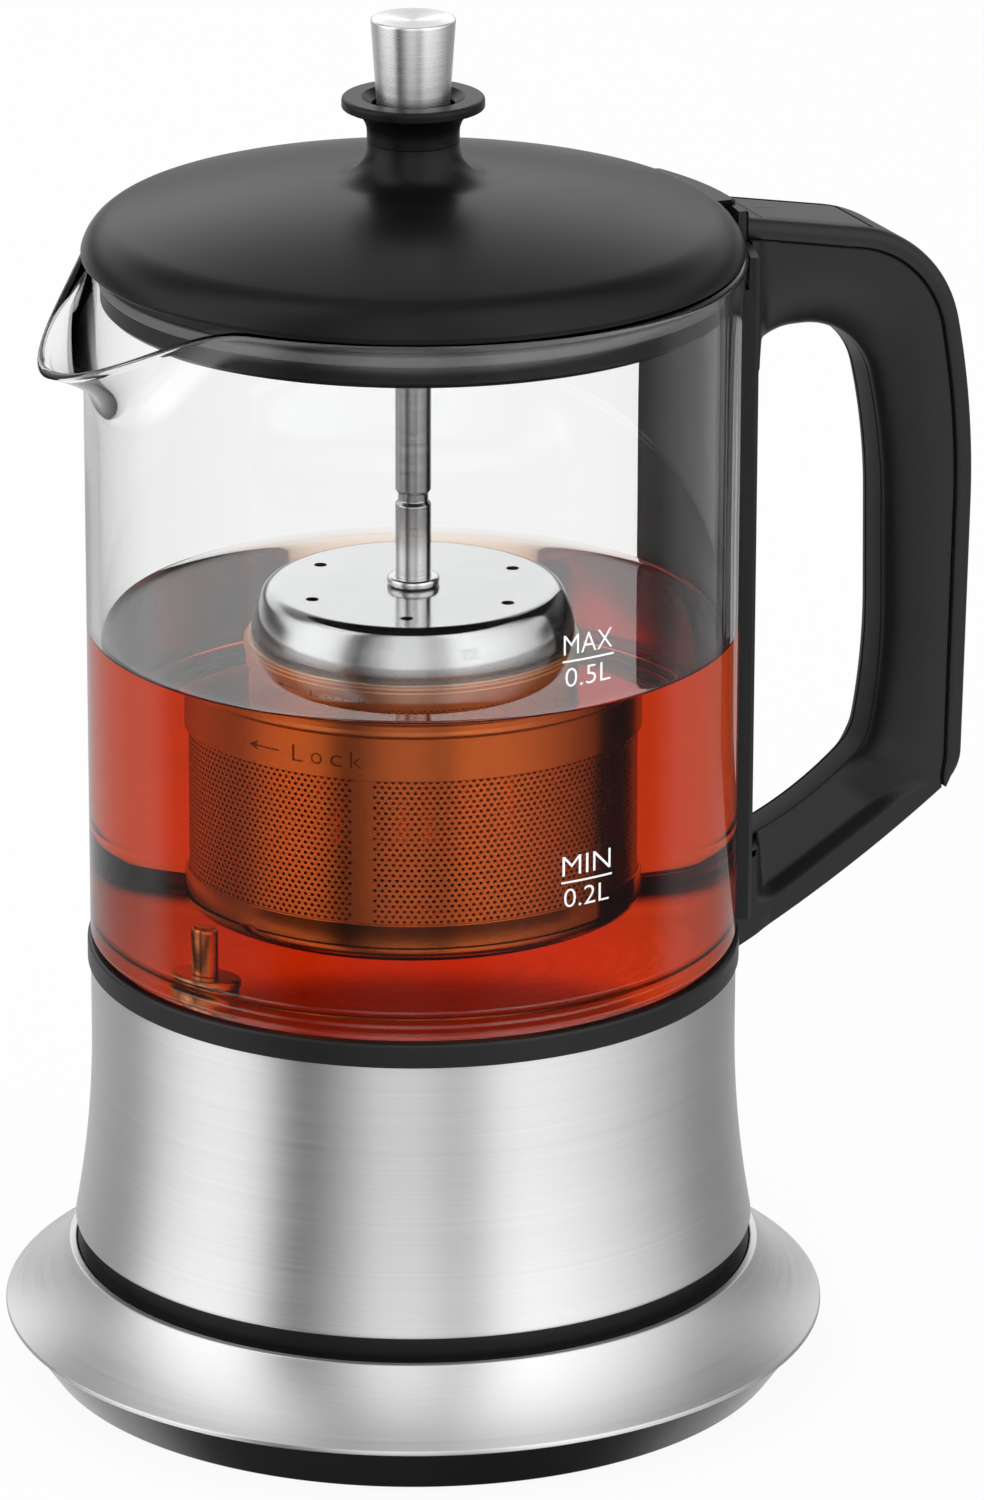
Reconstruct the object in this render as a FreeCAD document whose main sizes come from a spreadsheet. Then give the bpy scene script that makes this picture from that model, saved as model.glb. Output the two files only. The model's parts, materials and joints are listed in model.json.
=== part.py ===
"""Glass tea maker: a heated half-litre glass jug with a lifting strainer, on a corded power base.

Millimetres. +Z is up, the origin is on the jug's axis in the plane that the foot ring stands on,
and +X points from the axis to the handle, so the spout points along -X.
"""
import FreeCAD, Part
import math
import os

import Sketcher

os.makedirs("parts", exist_ok=True)
doc = FreeCAD.newDocument("tea_maker")
sheet = doc.addObject("Spreadsheet::Sheet", "Sizes")
Vector = FreeCAD.Vector


# ---------------------------------------------------------------- sizes that know their expression
class Size:
    """A length, angle or count: its number, and the sheet expression that gives it."""

    def __init__(self, number, text):
        self.number = number
        self.text = text

    def __add__(self, other):
        other = as_size(other)
        return Size(self.number + other.number, f"({self.text} + {other.text})")

    def __sub__(self, other):
        other = as_size(other)
        return Size(self.number - other.number, f"({self.text} - {other.text})")

    def __mul__(self, other):
        other = as_size(other)
        return Size(self.number * other.number, f"({self.text} * {other.text})")

    def __truediv__(self, other):
        other = as_size(other)
        return Size(self.number / other.number, f"({self.text} / {other.text})")

    def __neg__(self):
        return Size(-self.number, f"(0 - {self.text})")

    __radd__ = __add__
    __rmul__ = __mul__

    def __rsub__(self, other):
        return as_size(other) - self


def as_size(value):
    return value if isinstance(value, Size) else Size(float(value), str(value))


def sine(angle):
    return Size(math.sin(math.radians(angle.number)), f"sin({angle.text})")


def cosine(angle):
    return Size(math.cos(math.radians(angle.number)), f"cos({angle.text})")


sheet_rows = 0


def size(word, number, meaning):
    """Write one driving size into the sheet and give it back as a Size."""
    global sheet_rows
    sheet_rows += 1
    sheet.set(f"A{sheet_rows}", meaning)
    sheet.set(f"B{sheet_rows}", str(number))
    sheet.setAlias(f"B{sheet_rows}", word)
    return Size(float(number), f"Sizes.{word}")


# ---------------------------------------------------------------- how bodies are drawn
sub_parts = []


def body(label):
    """An empty PartDesign body whose label names the sub-part."""
    owner = doc.addObject("PartDesign::Body", label)
    owner.Label = label
    owner.AllowCompound = True
    sub_parts.append(owner)
    return owner


def origin_part(owner, role):
    return next(feature for feature in owner.Origin.OriginFeatures if feature.Role == role)


def new_sketch(owner, role, level=0):
    """A sketch on one of the body's own origin planes, moved by level along the plane's normal."""
    doc.recompute()
    sketch = owner.newObject("Sketcher::SketchObject", f"{owner.Name}_sketch")
    sketch.AttachmentSupport = (origin_part(owner, role), [""])
    sketch.MapMode = "FlatFace"
    level = as_size(level)
    sketch.AttachmentOffset = FreeCAD.Placement(Vector(0, 0, level.number), FreeCAD.Rotation())
    sketch.setExpression("AttachmentOffset.Base.z", level.text)
    return sketch


def hold(sketch, kind, corner, value):
    """Hold a corner's coordinate (or an edge's radius) at a sheet expression."""
    value = as_size(value)
    if kind == "Radius":
        index = sketch.addConstraint(Sketcher.Constraint(kind, corner, value.number))
    else:
        index = sketch.addConstraint(Sketcher.Constraint(kind, -1, 1, *corner, value.number))
    sketch.setExpression(f"Constraints[{index}]", value.text)


def arc_between(start, end, radius):
    """The shorter arc from start to end; it turns left if radius is positive, else right."""
    chord = end - start
    reach = abs(radius)
    rise = math.sqrt(max(reach * reach - chord.Length * chord.Length / 4, 0))
    side = Vector(-chord.y, chord.x, 0).normalize() * (rise if radius > 0 else -rise)
    centre = (start + end) * 0.5 + side
    first, last = (start, end) if radius > 0 else (end, start)
    from_angle = math.atan2(first.y - centre.y, first.x - centre.x)
    to_angle = math.atan2(last.y - centre.y, last.x - centre.x)
    circle = Part.Circle(centre, Vector(0, 0, 1), reach)
    return Part.ArcOfCircle(circle, from_angle, to_angle)


def draw(sketch, points):
    """A closed outline. A point's third value is the radius of the arc to the next point."""
    corners = [tuple(as_size(value) for value in point) for point in points]
    places = [Vector(corner[0].number, corner[1].number, 0) for corner in corners]
    count = len(corners)
    ends = []
    for number, corner in enumerate(corners):
        start, end = places[number], places[(number + 1) % count]
        if len(corner) == 3:
            edge = sketch.addGeometry(arc_between(start, end, corner[2].number), False)
            turns_left = corner[2].number > 0
            ends.append((edge, 1 if turns_left else 2, 2 if turns_left else 1))
            hold(sketch, "Radius", edge, corner[2] if turns_left else -corner[2])
        else:
            edge = sketch.addGeometry(Part.LineSegment(start, end), False)
            ends.append((edge, 1, 2))
    for number, corner in enumerate(corners):
        edge, first, last = ends[number]
        after = ends[(number + 1) % count]
        sketch.addConstraint(Sketcher.Constraint("Coincident", edge, last, after[0], after[1]))
        hold(sketch, "DistanceX", (edge, first), corner[0])
        hold(sketch, "DistanceY", (edge, first), corner[1])


def draw_circle(sketch, across, up, radius):
    across, up, radius = as_size(across), as_size(up), as_size(radius)
    circle = Part.Circle(Vector(across.number, up.number, 0), Vector(0, 0, 1), radius.number)
    edge = sketch.addGeometry(circle, False)
    hold(sketch, "DistanceX", (edge, 3), across)
    hold(sketch, "DistanceY", (edge, 3), up)
    hold(sketch, "Radius", edge, radius)


def finish_feature(owner, feature, sketch, removes):
    """Recompute, and make sure that a cut took something away or an addition added something."""
    before = owner.Shape.Volume if not owner.Shape.isNull() else 0.0
    feature.Profile = sketch
    sketch.Visibility = False
    doc.recompute()
    after = feature.Shape.Volume
    if removes and not after < before - 1e-6 or not removes and not after > before + 1e-6:
        raise RuntimeError(f"{owner.Label}: {feature.Name} changed the volume from {before} to {after}")
    return feature


def turned(owner, points, groove=False):
    """Revolve an outline of (radius, height) points about the body's Z axis, or cut with it."""
    sketch = new_sketch(owner, "XZ_Plane")
    draw(sketch, points)
    kind = "Groove" if groove else "Revolution"
    feature = owner.newObject(f"PartDesign::{kind}", f"{owner.Name}_{kind}")
    feature.ReferenceAxis = (sketch, ["V_Axis"])
    feature.Angle = 360
    return finish_feature(owner, feature, sketch, groove)


def raised(owner, role, level, length, outlines=(), circles=(), both_ways=False):
    """Pad outlines and circles by length from a plane at level."""
    sketch = new_sketch(owner, role, level)
    for points in outlines:
        draw(sketch, points)
    for circle in circles:
        draw_circle(sketch, *circle)
    feature = owner.newObject("PartDesign::Pad", f"{owner.Name}_Pad")
    length = as_size(length)
    feature.Length = length.number
    feature.setExpression("Length", length.text)
    if both_ways:
        feature.SideType = "Symmetric"
    return finish_feature(owner, feature, sketch, False)


def sunk(owner, role, level, depth, outlines=(), circles=(), both_ways=False):
    """Pocket outlines and circles by depth, against the plane's normal, from a plane at level."""
    sketch = new_sketch(owner, role, level)
    for points in outlines:
        draw(sketch, points)
    for circle in circles:
        draw_circle(sketch, *circle)
    feature = owner.newObject("PartDesign::Pocket", f"{owner.Name}_Pocket")
    depth = as_size(depth)
    feature.Length = depth.number
    feature.setExpression("Length", depth.text)
    if both_ways:
        feature.SideType = "Symmetric"
    return finish_feature(owner, feature, sketch, True)


def around(owner, features, count):
    """Repeat features evenly about the body's Z axis."""
    pattern = owner.newObject("PartDesign::PolarPattern", f"{owner.Name}_PolarPattern")
    pattern.Originals = features
    pattern.Axis = (origin_part(owner, "Z_Axis"), [""])
    pattern.Angle = 360
    pattern.Occurrences = round(count.number)
    pattern.setExpression("Occurrences", count.text)
    owner.Tip = pattern
    doc.recompute()
    return pattern


def placed(owner, across=0, along=0, up=0, turn=None):
    """Place a body at a point, turned about Z."""
    values = {"x": as_size(across), "y": as_size(along), "z": as_size(up)}
    turn = as_size(0 if turn is None else turn)
    base = Vector(values["x"].number, values["y"].number, values["z"].number)
    owner.Placement = FreeCAD.Placement(base, FreeCAD.Rotation(Vector(0, 0, 1), turn.number))
    for name, value in values.items():
        owner.setExpression(f"Placement.Base.{name}", value.text)
    owner.setExpression("Placement.Rotation.Angle", turn.text)


def rectangle(left, low, right, high):
    return [(left, low), (right, low), (right, high), (left, high)]


def ring_section(inner, outer, low, high):
    return rectangle(inner, low, outer, high)


def sector(inner, outer, from_angle, to_angle):
    """A slice of a ring between two directions, seen along Z."""
    start = (cosine(from_angle), sine(from_angle))
    end = (cosine(to_angle), sine(to_angle))
    return [
        (inner * start[0], inner * start[1]),
        (outer * start[0], outer * start[1], outer),
        (outer * end[0], outer * end[1]),
        (inner * end[0], inner * end[1], -inner),
    ]


def hexagon(flat_radius):
    """A hexagon whose flats lie at flat_radius from its centre."""
    corner = flat_radius / cosine(Size(30.0, "30"))
    half = corner / 2
    return [(corner, 0), (half, flat_radius), (-half, flat_radius),
            (-corner, 0), (-half, -flat_radius), (half, -flat_radius)]


def polar(radius, angle):
    return radius * cosine(angle), radius * sine(angle)


# ---------------------------------------------------------------- clearances shared by the pieces
slip = size("slip", 0.2, "gap between moulded or pressed pieces that sit inside each other")
running = size("running", 0.05, "gap all round a shaft that slides or turns in its bush")
soft_gap = size("soft_gap", 0.3, "gap between curved faces of pieces that move past each other")
screw_radius = size("screw_radius", 1.5, "case screw, outside of its thread")
screw_head = size("screw_head", 2.7, "case screw, radius of its pan head")
screw_head_height = size("screw_head_height", 1.8, "case screw, height of its pan head")
screw_play = size("screw_play", 0.2, "gap all round a screw in a clearance hole")
recess_radius = size("recess_radius", 0.9, "radius of the hex recess in a screw's head")
screw_count = size("screw_count", 3, "screws around the base, the housing and the lid")

# ---------------------------------------------------------------- power base
foot_radius = size("foot_radius", 60.5, "foot, at its underside")
foot_shoulder = size("foot_shoulder", 66.4, "foot, at its top edge under the skirt")
foot_underside = size("foot_underside", 0.6, "height of the foot's underside above the table")
foot_floor = size("foot_floor", 1.6, "thickness of the foot's floor")
foot_wall = size("foot_wall", 2.0, "thickness of the foot's wall")
skirt_low_edge = size("skirt_low_edge", 8.9, "height where foot and skirt meet")
skirt_overhang = size("skirt_overhang", 0.8, "how far the skirt's lower hem stands out from the foot")
skirt_top_radius = size("skirt_top_radius", 56.6, "skirt, outside at its upper hem")
skirt_sheet = size("skirt_sheet", 0.8, "skirt, sheet thickness")
skirt_hem = size("skirt_hem", 1.2, "width of the skirt's turned-in hems")
skirt_sweep = size("skirt_sweep", 24.0, "radius of the skirt's hollow flare")
ring_radius = size("ring_radius", 55.0, "outside of the rubber foot ring")
ring_width = size("ring_width", 5.0, "width of the rubber foot ring")
ring_height = size("ring_height", 1.4, "height of the rubber foot ring")
jug_seat = size("jug_seat", 19.9, "height of the deck that the jug stands on")
deck_plate = size("deck_plate", 2.0, "thickness of the deck")
deck_wall = size("deck_wall", 2.0, "thickness of the deck's supporting wall")
boss_radius = size("boss_radius", 3.4, "radius of a screw boss")
base_screw_circle = size("base_screw_circle", 40.0, "radius of the circle of base screws")
base_screw_turn = size("base_screw_turn", 60.0, "direction of the first base screw from the cord")
screw_well = size("screw_well", 2.2, "how far a screw's well stands up from a floor")
well_radius = size("well_radius", 4.3, "radius of a screw's well")
connector_radius = size("connector_radius", 12.5, "round connector post on the base")
connector_flange = size("connector_flange", 16.5, "flange of the connector under the deck")
connector_flange_height = size("connector_flange_height", 2.0, "thickness of that flange")
connector_top = size("connector_top", 31.0, "height of the connector post's top")
connector_bore = size("connector_bore", 2.6, "centre hole of the connector")
slot_radius = size("slot_radius", 7.6, "middle of the connector's ring slot")
slot_width = size("slot_width", 2.6, "width of the connector's ring slot")
contact_sheet = size("contact_sheet", 0.5, "thickness of the brass contacts")
contact_drop = size("contact_drop", 2.0, "how far the contacts stay below the post's top")
gland_radius = size("gland_radius", 3.2, "cord gland, outside")
cord_radius = size("cord_radius", 2.5, "cord gland, bore")
gland_head = size("gland_head", 2.0, "length of the gland's outer head")
clamp_length = size("clamp_length", 5.0, "cord clamp, along the cord")
clamp_width = size("clamp_width", 16.0, "cord clamp, across the cord")
clamp_cap = size("clamp_cap", 2.2, "cord clamp, thickness over the cord")

floor_top = foot_underside + foot_floor

# The foot: a black plastic pan with a slanted wall; a groove in its underside holds the foot ring.
base_foot = body("base_foot")
turned(base_foot, [
    (0, foot_underside), (foot_radius, foot_underside), (foot_shoulder, skirt_low_edge),
    (foot_shoulder - foot_wall, skirt_low_edge), (foot_radius - foot_wall, floor_top), (0, floor_top),
])
groove_roof = ring_height
turned(base_foot, ring_section(ring_radius - ring_width - slip, ring_radius + slip,
                               foot_underside - 1, groove_roof), groove=True)
base_screw_place = polar(base_screw_circle, base_screw_turn)
well_top = floor_top + screw_well
head_seat = well_top - 1.4
foot_well = raised(base_foot, "XY_Plane", floor_top - 0.5, screw_well + 0.5,
                   circles=[(*base_screw_place, well_radius)])
head_room = sunk(base_foot, "XY_Plane", head_seat, head_seat,
                 circles=[(*base_screw_place, screw_head + screw_play)])
screw_hole = sunk(base_foot, "XY_Plane", well_top + 1, well_top,
                  circles=[(*base_screw_place, screw_radius + screw_play)])
around(base_foot, [foot_well, head_room, screw_hole], screw_count)
gland_height = floor_top + gland_radius - slip / 2
sunk(base_foot, "YZ_Plane", foot_shoulder + 1, foot_shoulder - foot_radius + foot_wall + 3,
     circles=[(0, gland_height, gland_radius)])

# The foot ring: rubber, pressed into the groove, the lowest piece.
foot_ring = body("foot_ring")
turned(foot_ring, ring_section(ring_radius - ring_width, ring_radius, 0, groove_roof))

# The skirt: brushed steel sheet, spun to a hollow flare with turned-in hems.
skirt_top = jug_seat + 0.1
skirt_low_radius = foot_shoulder + skirt_overhang
base_skirt = body("base_skirt")
hem_top = skirt_low_edge + skirt_sheet
turned(base_skirt, [
    (skirt_low_radius - skirt_hem - skirt_sheet, skirt_low_edge),
    (skirt_low_radius, skirt_low_edge),
    (skirt_low_radius, hem_top, -skirt_sweep),
    (skirt_top_radius, skirt_top),
    (skirt_top_radius - skirt_hem, skirt_top),
    (skirt_top_radius - skirt_hem, skirt_top - skirt_sheet),
    (skirt_top_radius - skirt_sheet, skirt_top - skirt_sheet, skirt_sweep + skirt_sheet),
    (skirt_low_radius - skirt_hem - skirt_sheet, hem_top),
])

# The deck: black plastic, the jug stands on it; its wall carries it down to the foot's floor.
deck_radius = skirt_top_radius - skirt_hem - slip
deck_shoulder = deck_radius - slip
deck_under = jug_seat - deck_plate
base_deck = body("base_deck")
turned(base_deck, [
    (connector_radius + slip, jug_seat), (connector_radius + slip, deck_under),
    (deck_shoulder - deck_wall, deck_under), (deck_shoulder - deck_wall, floor_top),
    (deck_shoulder, floor_top), (deck_shoulder, skirt_top - skirt_sheet - slip),
    (deck_radius, skirt_top - skirt_sheet), (deck_radius, jug_seat),
])
deck_boss = raised(base_deck, "XY_Plane", well_top, deck_under - well_top + 0.5,
                   circles=[(*base_screw_place, boss_radius)])
boss_bore_depth = size("boss_bore_depth", 10.0, "depth of a boss's screw bore")
deck_bore = sunk(base_deck, "XY_Plane", well_top + boss_bore_depth, boss_bore_depth + 1,
                 circles=[(*base_screw_place, screw_radius + running)])
around(base_deck, [deck_boss, deck_bore], screw_count)
cord_slot = cord_radius + slip
sunk(base_deck, "YZ_Plane", deck_radius + 1, deck_wall + 2,
     outlines=[rectangle(-cord_slot, floor_top - 1, cord_slot, gland_height + cord_slot)])

# The connector: the base's half of the round cordless connector, flanged under the deck.
base_connector = body("base_connector")
slot_inner = slot_radius - slot_width / 2
slot_outer = slot_radius + slot_width / 2
slot_floor = deck_under
turned(base_connector, [
    (connector_bore, deck_under - connector_flange_height),
    (connector_flange, deck_under - connector_flange_height),
    (connector_flange, deck_under), (connector_radius, deck_under),
    (connector_radius, connector_top - 1), (connector_radius - 1, connector_top),
    (slot_outer, connector_top), (slot_outer, slot_floor), (slot_inner, slot_floor),
    (slot_inner, connector_top), (connector_bore, connector_top),
])

# The base's brass contacts: one sleeve in the ring slot, one pin in the centre hole.
pin_radius = size("pin_radius", 1.2, "radius of the centre contact pin")
base_contacts = body("base_contacts")
contact_top = connector_top - contact_drop
turned(base_contacts, ring_section(slot_inner + slip / 2, slot_inner + slip / 2 + contact_sheet,
                                   slot_floor, contact_top))
turned(base_contacts, [
    (0, deck_under - connector_flange_height - 3), (pin_radius, deck_under - connector_flange_height - 3),
    (pin_radius, deck_under - connector_flange_height - 1.2),
    (connector_bore + 2, deck_under - connector_flange_height - 1.2),
    (connector_bore + 2, deck_under - connector_flange_height),
    (pin_radius, deck_under - connector_flange_height), (pin_radius, contact_top), (0, contact_top),
])


def case_screw(label, circle, under_head, length, points_up):
    """A ring of pan-head screws; under_head is the height of the seat under the heads."""
    owner = body(label)
    way = 1 if points_up else -1
    head_top = under_head - way * screw_head_height
    tip = under_head + way * length
    outline = [
        (0, head_top), (screw_head - 0.5, head_top), (screw_head, head_top + way * 0.5),
        (screw_head, under_head), (screw_radius, under_head),
        (screw_radius, tip - way * 0.8), (screw_radius - 0.8, tip), (0, tip),
    ]
    sketch = new_sketch(owner, "XZ_Plane")
    shifted = [(circle + across, up) for across, up in outline]
    draw(sketch, shifted)
    axis_line = sketch.addGeometry(Part.LineSegment(Vector(circle.number, 0, 0),
                                                    Vector(circle.number, 10, 0)), True)
    for corner in (1, 2):
        hold(sketch, "DistanceX", (axis_line, corner), circle)
    hold(sketch, "DistanceY", (axis_line, 1), 0)
    hold(sketch, "DistanceY", (axis_line, 2), 10)
    shaft = owner.newObject("PartDesign::Revolution", f"{label}_Revolution")
    shaft.ReferenceAxis = (sketch, ["Axis0"])
    shaft.Angle = 360
    finish_feature(owner, shaft, sketch, False)
    recess_depth = screw_head_height / 2
    top_of_cut = head_top + recess_depth if points_up else head_top + 0.5
    hole = [(circle + across, up) for across, up in hexagon(recess_radius)]
    recess = sunk(owner, "XY_Plane", top_of_cut, recess_depth + 0.5, outlines=[hole])
    around(owner, [shaft, recess], screw_count)
    return owner


screw_length = size("screw_length", 9.0, "length of the base and housing screws under the head")
base_screws = case_screw("base_screws", base_screw_circle, head_seat, screw_length, True)
placed(base_screws, turn=base_screw_turn)

# The cord gland: a plastic bush in the foot's wall below the handle, for a cord not supplied here.
cord_gland = body("cord_gland")
gland_start = foot_radius - foot_wall - 1
gland_end = foot_shoulder + 0.4
raised(cord_gland, "YZ_Plane", gland_start, gland_end - gland_start,
       circles=[(0, gland_height, gland_radius - running), (0, gland_height, cord_radius)])

# The cord clamp: a bridge over the cord behind the gland, with two screws into the foot's floor.
cord_clamp = body("cord_clamp")
clamp_near = deck_shoulder - deck_wall - clamp_length - 1.5
clamp_top = gland_height + cord_radius + clamp_cap
half_clamp = clamp_width / 2
raised(cord_clamp, "YZ_Plane", clamp_near, clamp_length,
       outlines=[rectangle(-half_clamp, floor_top, half_clamp, clamp_top)])
sunk(cord_clamp, "YZ_Plane", clamp_near + clamp_length + 1, clamp_length + 2,
     outlines=[rectangle(-cord_radius, floor_top - 1, cord_radius, gland_height + cord_radius)])
clamp_screw_y = (half_clamp + cord_radius) / 2
clamp_middle = clamp_near + clamp_length / 2
clamp_screw_radius = size("clamp_screw_radius", 1.0, "cord clamp screws, radius")
clamp_holes = [(clamp_middle, side * clamp_screw_y, clamp_screw_radius + running) for side in (1, -1)]
sunk(cord_clamp, "XY_Plane", clamp_top, clamp_top, circles=clamp_holes)
clamp_screws = body("clamp_screws")
clamp_shafts = [(clamp_middle, side * clamp_screw_y, clamp_screw_radius) for side in (1, -1)]
clamp_heads = [(clamp_middle, side * clamp_screw_y, clamp_screw_radius * 1.9) for side in (1, -1)]
raised(clamp_screws, "XY_Plane", floor_top, clamp_top - floor_top, circles=clamp_shafts)
raised(clamp_screws, "XY_Plane", clamp_top, clamp_screw_radius * 1.4, circles=clamp_heads)

# ---------------------------------------------------------------- heated jug, lower half
housing_low_radius = size("housing_low_radius", 55.6, "steel housing, outside at its lower edge")
housing_low_edge = size("housing_low_edge", 23.9, "height of the steel housing's lower edge")
housing_radius = size("housing_radius", 52.5, "steel housing, outside of its straight upper part")
housing_top = size("housing_top", 69.0, "height of the steel housing's upper edge")
flare_start = size("flare_start", 57.0, "height where the housing starts to widen")
housing_sheet = size("housing_sheet", 0.8, "steel housing, sheet thickness")
housing_hem = size("housing_hem", 2.2, "width of the housing's turned-in lower hem")
jug_foot_width = size("jug_foot_width", 2.6, "width of the ring that the jug stands on")
floor_plate = size("floor_plate", 2.0, "thickness of the jug's bottom cover")
ring_proud = size("ring_proud", 0.5, "how far the black ring stands out from the housing")
ring_top = size("ring_top", 73.0, "height of the black ring's upper edge")
ring_depth = size("ring_depth", 62.0, "height of the black ring's lower edge inside the housing")
shelf_thickness = size("shelf_thickness", 2.0, "shelf of the ring that carries glass and plate")
glass_radius = size("glass_radius", 52.5, "glass, outside")
glass_wall = size("glass_wall", 2.3, "glass, wall thickness")
neck_radius = size("neck_radius", 49.6, "glass, outside of the narrowed end inside the ring")
neck_height = size("neck_height", 7.0, "how far the narrowed end reaches below the ring's top")
seal_thickness = size("seal_thickness", 1.2, "wall of the silicone glass seal")
plate_top = size("plate_top", 71.0, "height of the jug's heated floor")
plate_sheet = size("plate_sheet", 1.0, "heating plate, sheet thickness")
diffuser_radius = size("diffuser_radius", 36.0, "aluminium plate under the heating plate, radius")
diffuser_sheet = size("diffuser_sheet", 2.5, "aluminium plate, thickness")
element_circle = size("element_circle", 30.0, "radius of the heating element's loop")
element_radius = size("element_radius", 3.2, "heating element, tube radius")
element_gap = size("element_gap", 64.0, "angle left open between the element's ends")
sensor_angle = size("sensor_angle", 184.0, "direction of the temperature sensor from the axis")
sensor_circle = size("sensor_circle", 31.5, "distance of the temperature sensor from the axis")
post_circle = size("post_circle", 46.3, "radius of the circle of housing screws")
post_radius = size("post_radius", 3.0, "radius of the ring's screw posts")
socket_wall = size("socket_wall", 2.0, "wall of the jug's half of the connector")
socket_roof = size("socket_roof", 2.0, "thickness over the connector post")
socket_flange = size("socket_flange", 21.0, "flange that holds the socket in the bottom cover")

# The housing: brushed steel sleeve, straight above and flaring below, hemmed at the bottom.
flare_rise = flare_start - housing_low_edge
flare_reach = housing_low_radius - housing_radius
flare_curve = (flare_rise * flare_rise + flare_reach * flare_reach) / (2 * flare_reach)
housing_inner = housing_radius - housing_sheet
steel_housing = body("steel_housing")
turned(steel_housing, [
    (housing_low_radius - housing_hem, housing_low_edge),
    (housing_low_radius, housing_low_edge, -flare_curve),
    (housing_radius, flare_start), (housing_radius, housing_top), (housing_inner, housing_top),
    (housing_inner, flare_start, flare_curve + housing_sheet),
    (housing_low_radius - housing_sheet, housing_low_edge + housing_sheet),
    (housing_low_radius - housing_hem, housing_low_edge + housing_sheet),
])

# The ring: black plastic, plugs into the housing's top and carries the glass and the heating plate.
ring_outer = housing_radius + ring_proud
plug_radius = housing_inner - slip
glass_bore = neck_radius + slip
shelf_top = ring_depth + shelf_thickness
plate_radius = neck_radius - glass_wall - slip - seal_thickness - slip / 2
shelf_inner = plate_radius - 3.2
jug_ring = body("jug_ring")
turned(jug_ring, [
    (shelf_inner, ring_depth), (plug_radius, ring_depth), (plug_radius, housing_top),
    (ring_outer, housing_top), (ring_outer, ring_top - 0.5), (ring_outer - 0.5, ring_top),
    (glass_bore, ring_top), (glass_bore, shelf_top), (shelf_inner, shelf_top),
])
cover_low = housing_low_edge + housing_sheet
cover_top = cover_low + floor_plate
post = raised(jug_ring, "XY_Plane", cover_top, ring_depth - cover_top + 0.5,
              circles=[(post_circle, 0, post_radius)])
post_bore = sunk(jug_ring, "XY_Plane", cover_top + boss_bore_depth, boss_bore_depth + 1,
                 circles=[(post_circle, 0, screw_radius + running)])
around(jug_ring, [post, post_bore], screw_count)
low_screw_height = (housing_top + ring_top) / 2 - 0.4
handle_screw_radius = size("handle_screw_radius", 1.2, "handle screws, outside of the thread")
handle_head = size("handle_head", 2.0, "handle screws, radius of the flat head")
handle_head_depth = size("handle_head_depth", 1.4, "handle screws, height of the flat head")
low_hole = handle_screw_radius + slip / 2
sunk(jug_ring, "YZ_Plane", ring_outer + 1, 6, circles=[(0, low_screw_height, low_hole)])
low_seat = glass_bore + handle_head_depth + slip
sunk(jug_ring, "YZ_Plane", low_seat, handle_head_depth + 2,
     circles=[(0, low_screw_height, handle_head + slip)])

# The bottom cover: black plastic, its foot ring stands on the base's deck.
foot_outer = housing_low_radius - housing_hem - slip
socket_bore = connector_radius + soft_gap + socket_wall + soft_gap
housing_floor = body("housing_floor")
turned(housing_floor, [
    (socket_bore, cover_low), (foot_outer - jug_foot_width, cover_low),
    (foot_outer - jug_foot_width, jug_seat), (foot_outer, jug_seat),
    (foot_outer, cover_low), (housing_low_radius - housing_sheet - 2.5 * slip, cover_low),
    (housing_low_radius - housing_sheet - 4 * slip, cover_top), (socket_bore, cover_top),
])
cover_hole = sunk(housing_floor, "XY_Plane", cover_top, floor_plate + 1,
                  circles=[(post_circle, 0, screw_radius + screw_play)])
around(housing_floor, [cover_hole], screw_count)
case_screw("housing_screws", post_circle, cover_low, screw_length, True)

# The seal: silicone, holds the glass's end and closes the gap to the heating plate.
glass_end = ring_top - neck_height
glass_seal = body("glass_seal")
lip_inner = plate_radius + slip / 2
turned(glass_seal, [
    (lip_inner, shelf_top), (glass_bore - slip, shelf_top), (glass_bore - slip, glass_end),
    (lip_inner + seal_thickness, glass_end), (lip_inner + seal_thickness, plate_top - 0.3),
    (lip_inner, plate_top - 0.3),
])

# The heating plate: stainless sheet with a turned-down rim, the floor of the jug.
plate_under = plate_top - plate_sheet
heating_plate = body("heating_plate")
turned(heating_plate, [
    (0, plate_under), (plate_radius - plate_sheet, plate_under), (plate_radius - plate_sheet, shelf_top),
    (plate_radius, shelf_top), (plate_radius, plate_top - 1, 1), (plate_radius - 1, plate_top),
    (0, plate_top),
])
sensor_x, sensor_y = polar(sensor_circle, sensor_angle)
sensor_thread = size("sensor_thread", 2.6, "temperature sensor, radius of its threaded shank")
sunk(heating_plate, "XY_Plane", plate_top + 1, plate_sheet + 2,
     circles=[(sensor_x, sensor_y, sensor_thread + slip)])

# The heat diffuser: aluminium disc brazed under the plate.
diffuser_low = plate_under - diffuser_sheet
nut_flat = size("nut_flat", 4.0, "sensor nut, half its width across flats")
heat_diffuser = body("heat_diffuser")
turned(heat_diffuser, [(0, diffuser_low), (diffuser_radius, diffuser_low),
                       (diffuser_radius, plate_under), (0, plate_under)])
sunk(heat_diffuser, "XY_Plane", plate_under + 1, diffuser_sheet + 2,
     circles=[(sensor_x, sensor_y, nut_flat * 1.4)])

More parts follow.
